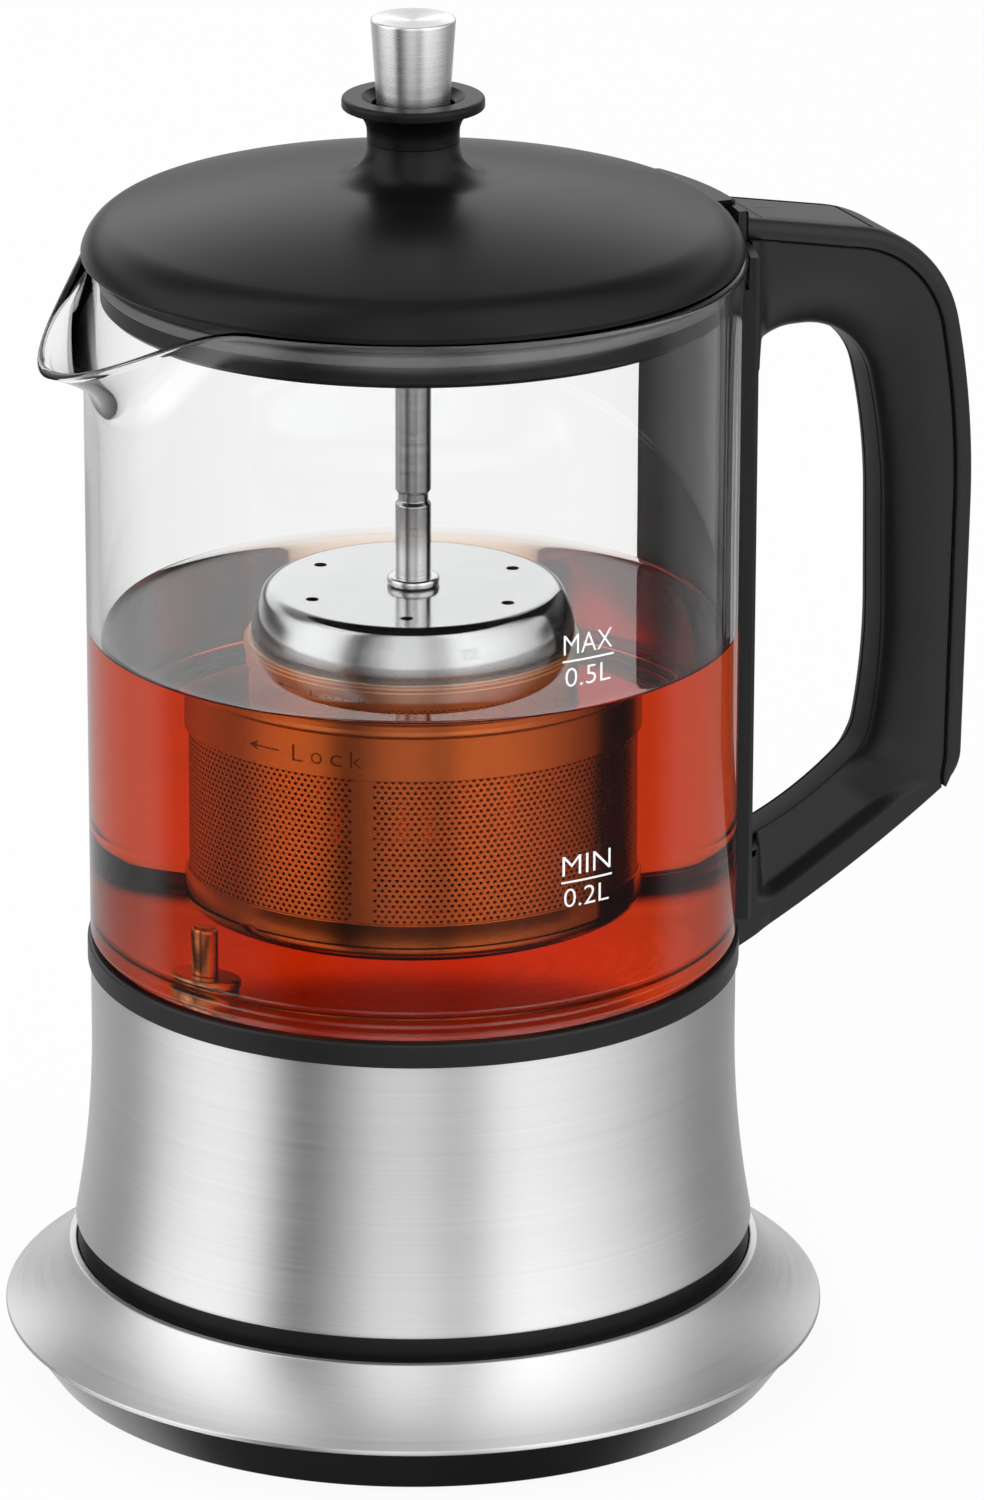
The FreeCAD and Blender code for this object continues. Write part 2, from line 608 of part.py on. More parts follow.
# The heating element: a tube loop under the diffuser, open at the sensor, ends turned down.
element_level = diffuser_low - element_radius
terminal_drop = size("terminal_drop", 9.0, "how far the element's cold ends reach down")
heating_element = body("heating_element")
loop_sketch = new_sketch(heating_element, "XZ_Plane")
draw_circle(loop_sketch, element_circle, element_level, element_radius)
loop = heating_element.newObject("PartDesign::Revolution", "heating_element_loop")
loop.ReferenceAxis = (loop_sketch, ["V_Axis"])
loop_angle = 360 - element_gap
loop.Angle = loop_angle.number
loop.setExpression("Angle", loop_angle.text)
finish_feature(heating_element, loop, loop_sketch, False)
first_end = (element_circle, Size(0.0, "0"))
last_end = polar(element_circle, loop_angle)
cold_end = element_radius * 0.9
raised(heating_element, "XY_Plane", element_level - terminal_drop, terminal_drop,
       circles=[(*first_end, cold_end), (*last_end, cold_end)])
placed(heating_element, turn=sensor_angle + element_gap / 2)

# The temperature sensor: a closed steel tube with a flange, bolted through the heated floor.
sensor_tube = size("sensor_tube", 2.0, "temperature sensor, tube radius")
sensor_top = size("sensor_top", 81.2, "height of the temperature sensor's tip")
sensor_flange = size("sensor_flange", 5.2, "temperature sensor, flange radius")
sensor_flange_height = size("sensor_flange_height", 1.5, "temperature sensor, flange thickness")
washer_height = size("washer_height", 0.6, "sensor washer, thickness")
sensor_tail = size("sensor_tail", 8.0, "how far the sensor's shank reaches below the plate")
flange_low = plate_top + washer_height
temperature_sensor = body("temperature_sensor")
turned(temperature_sensor, [
    (0, plate_under - sensor_tail), (sensor_thread, plate_under - sensor_tail), (sensor_thread, flange_low),
    (sensor_flange, flange_low), (sensor_flange, flange_low + sensor_flange_height),
    (sensor_tube, flange_low + sensor_flange_height), (sensor_tube, sensor_top - 1, 1),
    (sensor_tube - 1, sensor_top), (0, sensor_top),
])
sensor_washer = body("sensor_washer")
turned(sensor_washer, ring_section(sensor_thread + slip / 2, sensor_flange - 0.3, plate_top, flange_low))
nut_height = size("nut_height", 3.2, "sensor nut, height")
sensor_nut = body("sensor_nut")
raised(sensor_nut, "XY_Plane", plate_under - nut_height, nut_height,
       outlines=[hexagon(nut_flat)], circles=[(0, 0, sensor_thread + running)])
for piece in (temperature_sensor, sensor_washer, sensor_nut):
    placed(piece, sensor_x, sensor_y)

# The jug's half of the connector: a round cup that drops over the base's post and turns on it.
socket_inner = connector_radius + soft_gap
socket_outer = socket_inner + socket_wall
socket_low = jug_seat + 1.5
socket_ceiling = connector_top + soft_gap
socket_top = socket_ceiling + socket_roof
jug_socket = body("jug_socket")
turned(jug_socket, [
    (socket_outer, socket_low), (socket_outer, cover_top + soft_gap), (socket_flange, cover_top + soft_gap),
    (socket_flange, cover_top + soft_gap + 1.6), (socket_outer, cover_top + soft_gap + 1.6),
    (socket_outer, socket_top), (pin_radius + soft_gap, socket_top), (pin_radius + soft_gap, socket_ceiling),
    (socket_inner, socket_ceiling), (socket_inner, socket_low),
])

# The socket's brass contacts: a blade ring that dips into the post's slot beside its sleeve.
blade_radius = slot_inner + slip / 2 + contact_sheet + soft_gap
socket_contacts = body("socket_contacts")
turned(socket_contacts, ring_section(blade_radius, blade_radius + contact_sheet,
                                     slot_floor + 4, socket_ceiling))

# The control unit: switch-gear block hung under the diffuser on three posts, over the socket.
control_radius = size("control_radius", 22.0, "control unit, radius")
control_gap = size("control_gap", 0.4, "space between socket and control unit")
control_height = size("control_height", 16.0, "control unit, height")
control_post_circle = size("control_post_circle", 15.0, "circle of the control unit's posts")
control_post = size("control_post", 2.4, "control unit's posts, radius")
control_low = socket_top + control_gap
control_top = control_low + control_height
control_unit = body("control_unit")
turned(control_unit, [
    (0, control_low), (control_radius, control_low), (control_radius, control_top - 1),
    (control_radius - 1, control_top), (0, control_top),
])
hanger = raised(control_unit, "XY_Plane", control_top - 0.5, diffuser_low - control_top + 0.5,
                circles=[(control_post_circle, 0, control_post)])
around(control_unit, [hanger], screw_count)

# The thermostat: a bimetal cut-out disc pressed under the diffuser's middle.
thermostat_radius = size("thermostat_radius", 7.5, "thermostat, radius")
thermostat_height = size("thermostat_height", 6.5, "thermostat, height")
thermostat = body("thermostat")
turned(thermostat, [
    (0, diffuser_low - thermostat_height), (thermostat_radius - 2, diffuser_low - thermostat_height),
    (thermostat_radius - 2, diffuser_low - thermostat_height / 3),
    (thermostat_radius, diffuser_low - thermostat_height / 3), (thermostat_radius, diffuser_low),
    (0, diffuser_low),
])

# ---------------------------------------------------------------- glass
glass_rim = size("glass_rim", 187.0, "height of the glass's rim")
lip_flare = size("lip_flare", 0.8, "how far the rim widens")
spout_reach = size("spout_reach", 11.4, "how far the spout's tip stands out from the glass")
spout_dip = size("spout_dip", 12.4, "how far the spout's tip lies below the rim")
spout_half_angle = size("spout_half_angle", 39.0, "half of the angle that the spout takes of the rim")
spout_start = size("spout_start", 160.0, "height where the spout begins to leave the wall")
shoulder_rise = size("shoulder_rise", 2.4, "height of the glass's shoulder over the ring")
spout_spread = 0.9  # below 1 the spout's sides leave the rim more steeply
spout_pinch = 1.45  # above 1 the spout is narrower in plan than in height


def glass_skin(inset):
    """The side surface of the glass from spout_start up to the rim, moved inwards by inset."""
    rings = []
    for step in (0.0, 0.2, 0.4, 0.55, 0.7, 0.8, 0.88, 0.94, 1.0):
        points = []
        for number in range(72):
            angle = math.radians(number * 5)
            away = abs(math.degrees(math.pi - angle)) / spout_half_angle.number
            pull = math.cos(away ** spout_spread * math.pi / 2) ** 2 if away < 1 else 0.0
            top = glass_rim.number - spout_dip.number * pull
            level = spout_start.number + step * (top - spout_start.number)
            reach = glass_radius.number - inset + lip_flare.number * step ** 8
            reach += spout_reach.number * pull ** spout_pinch * step ** 4
            points.append(Vector(reach * math.cos(angle), reach * math.sin(angle), level))
        curve = Part.BSplineCurve()
        curve.interpolate(points, PeriodicFlag=True)
        rings.append(Part.Wire(curve.toShape()))
    return Part.makeLoft(rings, False, False), rings[0], rings[-1]


# The glass: a blown tube with a narrowed lower end, a flared rim and a pulled spout.
outer_skin, outer_low, outer_high = glass_skin(0.0)
inner_skin, inner_low, inner_high = glass_skin(glass_wall.number)
rim_face = Part.makeRuledSurface(outer_high, inner_high)
joint_face = Part.makeRuledSurface(outer_low, inner_low)
upper_shell = Part.makeShell(outer_skin.Faces + inner_skin.Faces + rim_face.Faces + joint_face.Faces)
upper_shell.sewShape()
glass_upper = Part.Solid(upper_shell)
glass_upper.fixTolerance(1e-4)
if glass_upper.Volume < 0:
    glass_upper.reverse()
inner_radius = glass_radius.number - glass_wall.number
neck_inner = neck_radius.number - glass_wall.number
shoulder_low = ring_top.number
shoulder_high = ring_top.number + shoulder_rise.number
glass_outline = [
    (neck_inner, glass_end.number), (neck_radius.number, glass_end.number),
    (neck_radius.number, shoulder_low), (glass_radius.number - 1.2, shoulder_low),
    (glass_radius.number, shoulder_low + 1.2), (glass_radius.number, spout_start.number),
    (inner_radius, spout_start.number), (inner_radius, shoulder_high + 1.4), (neck_inner, shoulder_high),
]
glass_points = [Vector(reach, 0, level) for reach, level in glass_outline]
glass_lower = Part.Face(Part.makePolygon(glass_points + glass_points[:1]))
glass_lower = glass_lower.revolve(Vector(0, 0, 0), Vector(0, 0, 1), 360)
jug_glass = doc.addObject("Part::Feature", "jug_glass")
jug_glass.Label = "jug_glass"
jug_glass.Shape = glass_lower.fuse(glass_upper)
jug_glass.Placement = FreeCAD.Placement()
sub_parts.append(jug_glass)

# ---------------------------------------------------------------- handle
strip_gap = size("strip_gap", 0.3, "gap between the glass and the handle's mounting strip")
strip_thickness = size("strip_thickness", 2.5, "mounting strip, thickness")
strip_half_angle = size("strip_half_angle", 20.0, "mounting strip, half of the angle it covers")
handle_width = size("handle_width", 17.0, "width of the handle's main moulding")
shell_width = size("shell_width", 18.0, "width of the handle's outer shell")
shell_depth = size("shell_depth", 3.3, "depth of the handle's outer shell")
liner_width = size("liner_width", 6.4, "width of the grip's inner strip")
liner_depth = size("liner_depth", 2.0, "depth of the grip's inner strip")
arm_start = size("arm_start", 54.5, "distance from the axis where the handle's outline starts")
arm_top = size("arm_top", 188.8, "height of the handle's top where its outline starts")
arm_slope = size("arm_slope", 10.4, "how steeply the upper arm falls outwards")
arm_length = size("arm_length", 21.6, "straight part of the upper arm")
shoulder_radius = size("shoulder_radius", 22.0, "outer bend at the top of the grip")
shoulder_turn = size("shoulder_turn", 68.0, "angle of that bend")
grip_radius = size("grip_radius", 144.0, "gentle outer bend of the grip")
grip_turn = size("grip_turn", 12.7, "angle of that bend")
grip_length = size("grip_length", 42.7, "straight part of the grip's outside")
heel_radius = size("heel_radius", 7.3, "outer bend at the grip's lower end")
heel_turn = size("heel_turn", 52.4, "angle of that bend")
strut_radius = size("strut_radius", 240.0, "gentle bend of the lower strut's underside")
strut_turn = size("strut_turn", 11.6, "angle of that bend")
loop_top = size("loop_top", 168.6, "height of the finger loop's top")
loop_corner = size("loop_corner", 9.8, "bend between the mounting strip and the loop's top")
loop_arm = size("loop_arm", 1.7, "straight top of the finger loop")
loop_radius = size("loop_radius", 12.9, "upper bend of the finger loop")
loop_turn = size("loop_turn", 76.6, "angle of that bend")
palm_radius = size("palm_radius", 105.0, "gentle bends of the grip's inside")
palm_turn = size("palm_turn", 12.4, "angle of the upper gentle bend")
palm_length = size("palm_length", 17.1, "straight part of the grip's inside")
palm_low_turn = size("palm_low_turn", 11.7, "angle of the lower gentle bend")
toe_radius = size("toe_radius", 7.9, "lower bend of the finger loop")
toe_turn = size("toe_turn", 37.3, "angle of that bend")
sill_radius = size("sill_radius", 60.0, "gentle bend of the finger loop's bottom")
sill_turn = size("sill_turn", 26.5, "angle of that bend")
shell_run = size("shell_run", 5.9, "how far the shell's seam runs on below the grip's straight part")

strip_inner = glass_radius + strip_gap
strip_outer = strip_inner + strip_thickness


def walk(start, heading, legs, inset=0):
    """Points along a tangent path of lines and right-hand bends, moved to its right by inset."""
    across, up = start
    inset = as_size(inset)
    across = across + inset * sine(heading)
    up = up - inset * cosine(heading)
    points = []
    for leg in legs:
        if len(leg) == 1:
            points.append((across, up))
            across = across + leg[0] * cosine(heading)
            up = up + leg[0] * sine(heading)
        else:
            bend, turn = leg[0] - inset, leg[1]
            points.append((across, up, -bend))
            after = heading - turn
            across = across + bend * (sine(heading) - sine(after))
            up = up - bend * (cosine(heading) - cosine(after))
            heading = after
    return points + [(across, up)]


outer_legs = [(arm_length,), (shoulder_radius, shoulder_turn), (grip_radius, grip_turn),
              (grip_length,), (heel_radius, heel_turn), (strut_radius, strut_turn)]
inner_legs = [(loop_corner, Size(90.0, "90")), (loop_arm,), (loop_radius, loop_turn),
              (palm_radius, palm_turn), (palm_length,),
              (palm_radius, palm_low_turn), (toe_radius, toe_turn), (sill_radius, sill_turn)]


def outer_path(inset=0, legs=outer_legs):
    return walk((arm_start, arm_top), -arm_slope, legs, inset)


def inner_path():
    start = (strip_outer, loop_top - loop_corner)
    return [(arm_start, start[1])] + walk(start, Size(90.0, "90"), inner_legs)


def reversed_path(points):
    """The same path walked the other way, so that right-hand bends become left-hand ones."""
    turned_round = []
    for number in range(len(points) - 1, -1, -1):
        before = points[number - 1] if number else ()
        bend = (-before[2],) if len(before) == 3 else ()
        turned_round.append(points[number][:2] + bend)
    return turned_round


def band(first, second):
    """The closed outline between two paths that run the same way."""
    return first + reversed_path(second)


# The mounting strip: black plastic, bonded to the glass behind the handle; its tab stops the lid.
strip_low = ring_top + soft_gap
strip_top = glass_rim
handle_strip = body("handle_strip")
raised(handle_strip, "XY_Plane", strip_low, strip_top - strip_low,
       outlines=[sector(strip_inner, strip_outer, -strip_half_angle, strip_half_angle)])
flare_height = size("flare_height", 7.0, "height of the relief for the glass's flared rim")
sunk(handle_strip, "XY_Plane", strip_top + 1, flare_height + 1,
     outlines=[sector(strip_inner - 1, strip_inner + lip_flare, -strip_half_angle - 2,
                      strip_half_angle + 2)])
stop_from = size("stop_from", -9.5, "direction of the lid stop's near side")
stop_to = size("stop_to", -5.5, "direction of the lid stop's far side")
stop_height = size("stop_height", 3.2, "height of the lid stop over the rim")
raised(handle_strip, "XY_Plane", strip_top - 1, stop_height + 1,
       outlines=[sector(strip_inner + lip_flare, strip_outer, stop_from, stop_to)])

# The handle's main moulding: black plastic, between the strip and the shell.
handle_body = body("handle_body")
raised(handle_body, "XZ_Plane", 0, handle_width,
       outlines=[band(outer_path(), inner_path())], both_ways=True)
seam_legs = outer_legs[:3] + [(grip_length + shell_run,)]
sunk(handle_body, "XZ_Plane", 0, shell_width,
     outlines=[band(outer_path(-1, outer_legs[:5]), outer_path(shell_depth, seam_legs))],
     both_ways=True)
ring_relief = ring_outer + slip
inner_room = [
    (0, 0), (ring_relief, 0), (ring_relief, ring_top + slip), (strip_outer, ring_top + slip),
    (strip_outer, glass_rim + 10), (0, glass_rim + 10),
]
turned(handle_body, inner_room, groove=True)

# The grip's inner strip: softer black plastic, let into the loop side of the moulding.
liner_legs = inner_legs[2:]
liner_start = (strip_outer + loop_corner + loop_arm, loop_top)


def liner_path(inset):
    return walk(liner_start, Size(0.0, "0"), liner_legs, inset)


handle_liner = body("handle_liner")
raised(handle_liner, "XZ_Plane", 0, liner_width,
       outlines=[band(liner_path(-liner_depth), liner_path(0))], both_ways=True)
turned(handle_liner, inner_room, groove=True)
sunk(handle_body, "XZ_Plane", 0, liner_width + slip,
     outlines=[band(liner_path(-liner_depth), liner_path(1))], both_ways=True)

# The shell: black plastic cap over the arm's top and the grip's back, down to the heel.
handle_shell = body("handle_shell")
raised(handle_shell, "XZ_Plane", 0, shell_width,
       outlines=[band(outer_path(0, outer_legs[:5]), outer_path(shell_depth, seam_legs))],
       both_ways=True)
turned(handle_shell, inner_room, groove=True)

# The thumb switch: a textured rocker let into the arm's top, on a pin near its outer end.
pad_start = size("pad_start", 3.6, "gap along the arm from its start to the thumb switch")
pad_bend = size("pad_bend", 5.5, "angle of the shoulder bend that the thumb switch covers")
pad_width = size("pad_width", 13.6, "width of the thumb switch")
pad_thickness = size("pad_thickness", 1.6, "thickness of the thumb switch")
pad_gap = size("pad_gap", 0.35, "gap round the thumb switch")
pin_lead = size("pin_lead", 19.0, "distance along the arm from its start to the switch's pin")
pin_drop = size("pin_drop", 2.5, "depth of the switch's pin under the arm's top")
switch_pin_radius = size("switch_pin_radius", 0.75, "switch pin, radius")
lug_radius = size("lug_radius", 1.6, "radius of the thumb switch's lug round its pin")
lug_width = size("lug_width", 6.0, "width of that lug")
pad_legs = [(arm_length - pad_start,), (shoulder_radius, pad_bend)]
well_legs = [(arm_length - pad_start + pad_gap,), (shoulder_radius, pad_bend + 1.0)]


def pad_path(legs, lead, inset):
    start = (arm_start + lead * cosine(arm_slope), arm_top - lead * sine(arm_slope))
    return walk(start, -arm_slope, legs, inset)


pin_x = arm_start + pin_lead * cosine(arm_slope) - pin_drop * sine(arm_slope)
pin_z = arm_top - pin_lead * sine(arm_slope) - pin_drop * cosine(arm_slope)
switch_pad = body("switch_pad")
raised(switch_pad, "XZ_Plane", 0, pad_width,
       outlines=[band(pad_path(pad_legs, pad_start, 0), pad_path(pad_legs, pad_start, pad_thickness))],
       both_ways=True)
raised(switch_pad, "XZ_Plane", 0, lug_width, circles=[(pin_x, pin_z, lug_radius)], both_ways=True)
sunk(switch_pad, "XZ_Plane", 0, pad_width + 2, circles=[(pin_x, pin_z, switch_pin_radius + running)],
     both_ways=True)
well_start = pad_start - pad_gap
sunk(handle_shell, "XZ_Plane", 0, pad_width + 2 * pad_gap,
     outlines=[band(pad_path(well_legs, well_start, -1), pad_path(well_legs, well_start, shell_depth))],
     both_ways=True)
pin_length = shell_width - 1
sunk(handle_shell, "XZ_Plane", 0, pin_length, circles=[(pin_x, pin_z, switch_pin_radius)],
     both_ways=True)
sunk(handle_body, "XZ_Plane", 0, lug_width + 2 * pad_gap,
     circles=[(pin_x, pin_z, lug_radius + 2 * pad_gap)], both_ways=True)

# The switch pin: steel, pressed through the shell's side walls.
switch_pin = body("switch_pin")
raised(switch_pin, "XZ_Plane", 0, pin_length, circles=[(pin_x, pin_z, switch_pin_radius)],
       both_ways=True)

# The micro switch: in a pocket of the arm; its button stands just under the pressed rocker.
micro_x = size("micro_x", 60.5, "micro switch, side nearer to the glass")
micro_low = size("micro_low", 175.5, "micro switch, underside")
micro_length = size("micro_length", 7.0, "micro switch, length")
micro_width = size("micro_width", 6.0, "micro switch, width")
micro_height = size("micro_height", 6.5, "micro switch, height of its case")
button_radius = size("button_radius", 1.1, "micro switch, radius of its button")
button_top = size("button_top", 184.75, "height of the micro switch's button")
micro_middle = micro_x + micro_length / 2
half_micro = micro_width / 2
micro_switch = body("micro_switch")
raised(micro_switch, "XY_Plane", micro_low, micro_height,
       outlines=[rectangle(micro_x, -half_micro, micro_x + micro_length, half_micro)])
raised(micro_switch, "XY_Plane", micro_low + micro_height - 0.5, button_top - micro_low - micro_height + 0.5,
       circles=[(micro_middle, 0, button_radius)])
sunk(handle_body, "XY_Plane", glass_rim, glass_rim - micro_low,
     outlines=[rectangle(micro_x - slip, -half_micro - slip, micro_x + micro_length + slip,
                         half_micro + slip)])

# The handle screws: from inside, one through the strip and one through the ring's wall.
upper_screw_height = size("upper_screw_height", 178.0, "height of the upper handle screw")
upper_screw_length = size("upper_screw_length", 6.8, "length of the upper handle screw")
lower_screw_length = size("lower_screw_length", 9.5, "length of the lower handle screw")
handle_screws = body("handle_screws")


def screw_to_handle(seat, level, length):
    """A flat-head screw along X whose head starts at seat."""
    sketch = new_sketch(handle_screws, "XZ_Plane")
    sketch.AttachmentOffset = FreeCAD.Placement(Vector(0, level.number, 0), FreeCAD.Rotation())
    sketch.setExpression("AttachmentOffset.Base.y", level.text)
    draw(sketch, [
        (seat, 0), (seat + length, 0), (seat + length - 0.7, handle_screw_radius),
        (seat + handle_head_depth, handle_screw_radius), (seat + handle_head_depth / 2, handle_head),
        (seat, handle_head),
    ])
    shaft = handle_screws.newObject("PartDesign::Revolution", "handle_screws_Revolution")
    shaft.ReferenceAxis = (sketch, ["H_Axis"])
    shaft.Angle = 360
    finish_feature(handle_screws, shaft, sketch, False)


screw_to_handle(strip_inner + slip / 2, upper_screw_height, upper_screw_length)
screw_to_handle(glass_bore + slip / 2, low_screw_height, lower_screw_length)
sunk(handle_strip, "YZ_Plane", strip_outer + 1, strip_thickness + 2,
     circles=[(0, upper_screw_height, low_hole)])
sunk(handle_strip, "YZ_Plane", strip_inner + handle_head_depth + slip, handle_head_depth + 2,
     circles=[(0, upper_screw_height, handle_head + slip)])
for level, reach in ((upper_screw_height, strip_inner + upper_screw_length),
                     (low_screw_height, glass_bore + lower_screw_length)):
    sunk(handle_body, "YZ_Plane", reach + 0.5, reach - arm_start + 3,
         circles=[(0, level, handle_screw_radius + running)])

# ---------------------------------------------------------------- lid
lid_radius = size("lid_radius", 52.7, "lid, outside")
lid_gap = size("lid_gap", 0.2, "gap between the lid's edge and the glass's rim")
lid_wall = size("lid_wall", 2.2, "lid shell, wall thickness")
lid_side = size("lid_side", 0.9, "height of the lid's upright edge")
lid_round_radius = size("lid_round_radius", 7.4, "radius of the lid's rounded edge")
dome_edge = size("dome_edge", 47.5, "distance from the axis where the lid's dome begins")
dome_edge_height = size("dome_edge_height", 193.4, "height of the lid's dome at its edge")
dome_radius = size("dome_radius", 178.0, "radius of the lid's dome")
dome_inner_edge = size("dome_inner_edge", 13.0, "distance from the axis where the dome ends")
dome_inner_height = size("dome_inner_height", 199.3, "height of the lid's dome where it ends")
lid_neck = size("lid_neck", 7.35, "lid neck, outside")
neck_top = size("neck_top", 205.5, "height of the seam between lid neck and collar")
neck_fillet = size("neck_fillet", 6.1, "hollow between dome and neck")
bush_radius = size("bush_radius", 4.6, "rod bush, outside")
rod_radius = size("rod_radius", 2.87, "infuser rod, radius")
plug_outer = size("plug_outer", 49.7, "lid plug, outside")
plug_low = size("plug_low", 179.5, "lid plug, height of its underside")
plug_wall = size("plug_wall", 2.2, "lid plug, side wall")
plug_floor = size("plug_floor", 1.6, "lid plug, floor and inner walls")
nest_radius = size("nest_radius", 27.4, "recess in the lid plug that the strainer's cap rises into")
nest_roof = size("nest_roof", 191.4, "height of that recess's roof")
lid_screw_circle = size("lid_screw_circle", 38.0, "radius of the circle of lid screws")
lid_screw_turn = size("lid_screw_turn", 60.0, "direction of the first lid screw")

lid_low = glass_rim + lid_gap
lid_inner = plug_outer + soft_gap
roof_top = nest_roof + plug_floor
bush_bore = bush_radius + running
hub_radius = lid_neck + 0.8

# The lid shell: satin black plastic dome with a neck, hollow underneath.
lid_shell = body("lid_shell")
turned(lid_shell, [
    (lid_inner, lid_low), (lid_radius - 0.4, lid_low, 0.4), (lid_radius, lid_low + 0.4),
    (lid_radius, lid_low + lid_side, lid_round_radius), (dome_edge, dome_edge_height, dome_radius),
    (dome_inner_edge, dome_inner_height, -neck_fillet), (lid_neck, neck_top - 0.2),
    (lid_neck, neck_top), (bush_bore, neck_top), (bush_bore, roof_top), (hub_radius, roof_top),
    (hub_radius, dome_inner_height - lid_wall),
    (dome_inner_edge, dome_inner_height - lid_wall, -(dome_radius - lid_wall)),
    (dome_edge - 1, dome_edge_height - lid_wall, -(lid_round_radius - lid_wall)),
    (lid_inner, dome_edge_height - lid_wall - 2.6),
])
lid_well_top = plug_low + plug_floor + screw_well
lid_screw_place = polar(lid_screw_circle, lid_screw_turn)
lid_boss_top = size("lid_boss_top", 194.5, "height up to which the lid's bosses are drawn")
lid_boss = raised(lid_shell, "XY_Plane", lid_well_top, lid_boss_top - lid_well_top,
                  circles=[(*lid_screw_place, boss_radius)])
lid_bore_depth = size("lid_bore_depth", 8.0, "depth of a lid boss's screw bore")
lid_bore = sunk(lid_shell, "XY_Plane", lid_well_top + lid_bore_depth, lid_bore_depth + 1,
                circles=[(*lid_screw_place, screw_radius + running)])
around(lid_shell, [lid_boss, lid_bore], screw_count)
ear_from = size("ear_from", -4.0, "direction of the lid ear's near side")
ear_to = size("ear_to", 20.0, "direction of the lid ear's far side")
ear_radius = size("ear_radius", 55.0, "lid ear, outside")
ear_low = size("ear_low", 187.4, "height of the lid ear's underside")
ear_top = size("ear_top", 190.8, "height of the lid ear's top")
raised(lid_shell, "XY_Plane", ear_low, ear_top - ear_low,
       outlines=[sector(lid_inner + 0.9, ear_radius, ear_from, ear_to)])

# The lid plug: black plastic channel that sits in the glass's mouth, with a recess for the cap.
plug_inner = plug_outer - plug_wall
nest_outer = nest_radius + plug_floor
seal_seat = size("seal_seat", 48.6, "bottom of the lid seal's groove")
seal_low = size("seal_low", 183.0, "height of the lid seal's underside")
seal_height = size("seal_height", 2.0, "lid seal, height")
plug_top = dome_edge_height - lid_wall - 3.0
lid_plug = body("lid_plug")
turned(lid_plug, [
    (nest_radius, plug_low), (plug_outer - 0.8, plug_low), (plug_outer, plug_low + 0.8),
    (plug_outer, seal_low), (seal_seat, seal_low), (seal_seat, seal_low + seal_height),
    (plug_outer, seal_low + seal_height), (plug_outer, plug_top), (plug_inner, plug_top),
    (plug_inner, plug_low + plug_floor), (nest_outer, plug_low + plug_floor), (nest_outer, roof_top),
    (rod_radius + soft_gap, roof_top), (rod_radius + soft_gap, nest_roof), (nest_radius, nest_roof),
])
plug_well = raised(lid_plug, "XY_Plane", plug_low + 0.5, lid_well_top - plug_low - 0.5,
                   circles=[(*lid_screw_place, well_radius)])
lid_head_seat = lid_well_top - 1.4
plug_head_room = sunk(lid_plug, "XY_Plane", lid_head_seat, lid_head_seat - plug_low + 1,
                      circles=[(*lid_screw_place, screw_head + screw_play)])
plug_hole = sunk(lid_plug, "XY_Plane", lid_well_top + 1, 4,
                 circles=[(*lid_screw_place, screw_radius + screw_play)])
around(lid_plug, [plug_well, plug_head_room, plug_hole], screw_count)
lid_screw_length = size("lid_screw_length", 8.0, "length of the lid screws under the head")
lid_screws = case_screw("lid_screws", lid_screw_circle, lid_head_seat, lid_screw_length, True)
placed(lid_screws, turn=lid_screw_turn)

# The lid seal: silicone ring in the plug's groove, against the inside of the glass.
lid_seal = body("lid_seal")
turned(lid_seal, ring_section(seal_seat, plug_outer + 0.35, seal_low, seal_low + seal_height))

# The collar: black plastic funnel on the neck with a flat flange; the knob rests in its recess.
collar_radius = size("collar_radius", 11.35, "collar, outside of its flange")
collar_low = size("collar_low", 211.0, "height of the collar flange's underside")
collar_top = size("collar_top", 212.7, "height of the collar flange's top")
collar_recess = size("collar_recess", 6.5, "collar, radius of the knob's recess")
recess_mouth = size("recess_mouth", 8.2, "collar, radius of the recess at its mouth")
recess_floor = size("recess_floor", 208.2, "height of the recess's floor")
collar_hollow = size("collar_hollow", 4.0, "hollow between collar's neck and flange")
bush_flange_radius = size("bush_flange_radius", 6.0, "rod bush, radius of its flange")
bush_flange_height = size("bush_flange_height", 1.3, "rod bush, thickness of its flange")
bush_flange_top = neck_top + running + bush_flange_height
lid_collar = body("lid_collar")
turned(lid_collar, [
    (bush_flange_radius + slip, neck_top), (lid_neck, neck_top),
    (lid_neck, collar_low - collar_hollow, -collar_hollow), (lid_neck + collar_hollow, collar_low),
    (collar_radius, collar_low + 0.4, 0.6), (collar_radius - 0.2, collar_top - 0.3, 0.6),
    (collar_radius - 0.6, collar_top), (recess_mouth, collar_top),
    (collar_recess, collar_top - 1.2), (collar_recess, recess_floor),
    (rod_radius + soft_gap, recess_floor), (rod_radius + soft_gap, bush_flange_top + running),
    (bush_flange_radius + slip, bush_flange_top + running),
])

# The rod bush: brass, the rod slides in it and the lid turns on it; a spring ring grips the rod.
detent_height = size("detent_height", 204.3, "height of the spring ring in the rod bush")
detent_outer = size("detent_outer", 4.0, "spring ring, outside")
detent_thickness = size("detent_thickness", 1.0, "spring ring, height")
detent_low = detent_height - detent_thickness / 2
detent_high = detent_height + detent_thickness / 2
rod_bush = body("rod_bush")
rod_bore = rod_radius + running
bush_low = roof_top + slip
turned(rod_bush, [
    (rod_bore, bush_low), (bush_radius, bush_low), (bush_radius, neck_top + running),
    (bush_flange_radius, neck_top + running), (bush_flange_radius, bush_flange_top),
    (rod_bore, bush_flange_top), (rod_bore, detent_high), (detent_outer, detent_high),
    (detent_outer, detent_low), (rod_bore, detent_low),
])
detent_ring = body("detent_ring")
turned(detent_ring, ring_section(rod_radius + slip / 2, detent_outer - running,
                                 detent_low + running, detent_high - running))

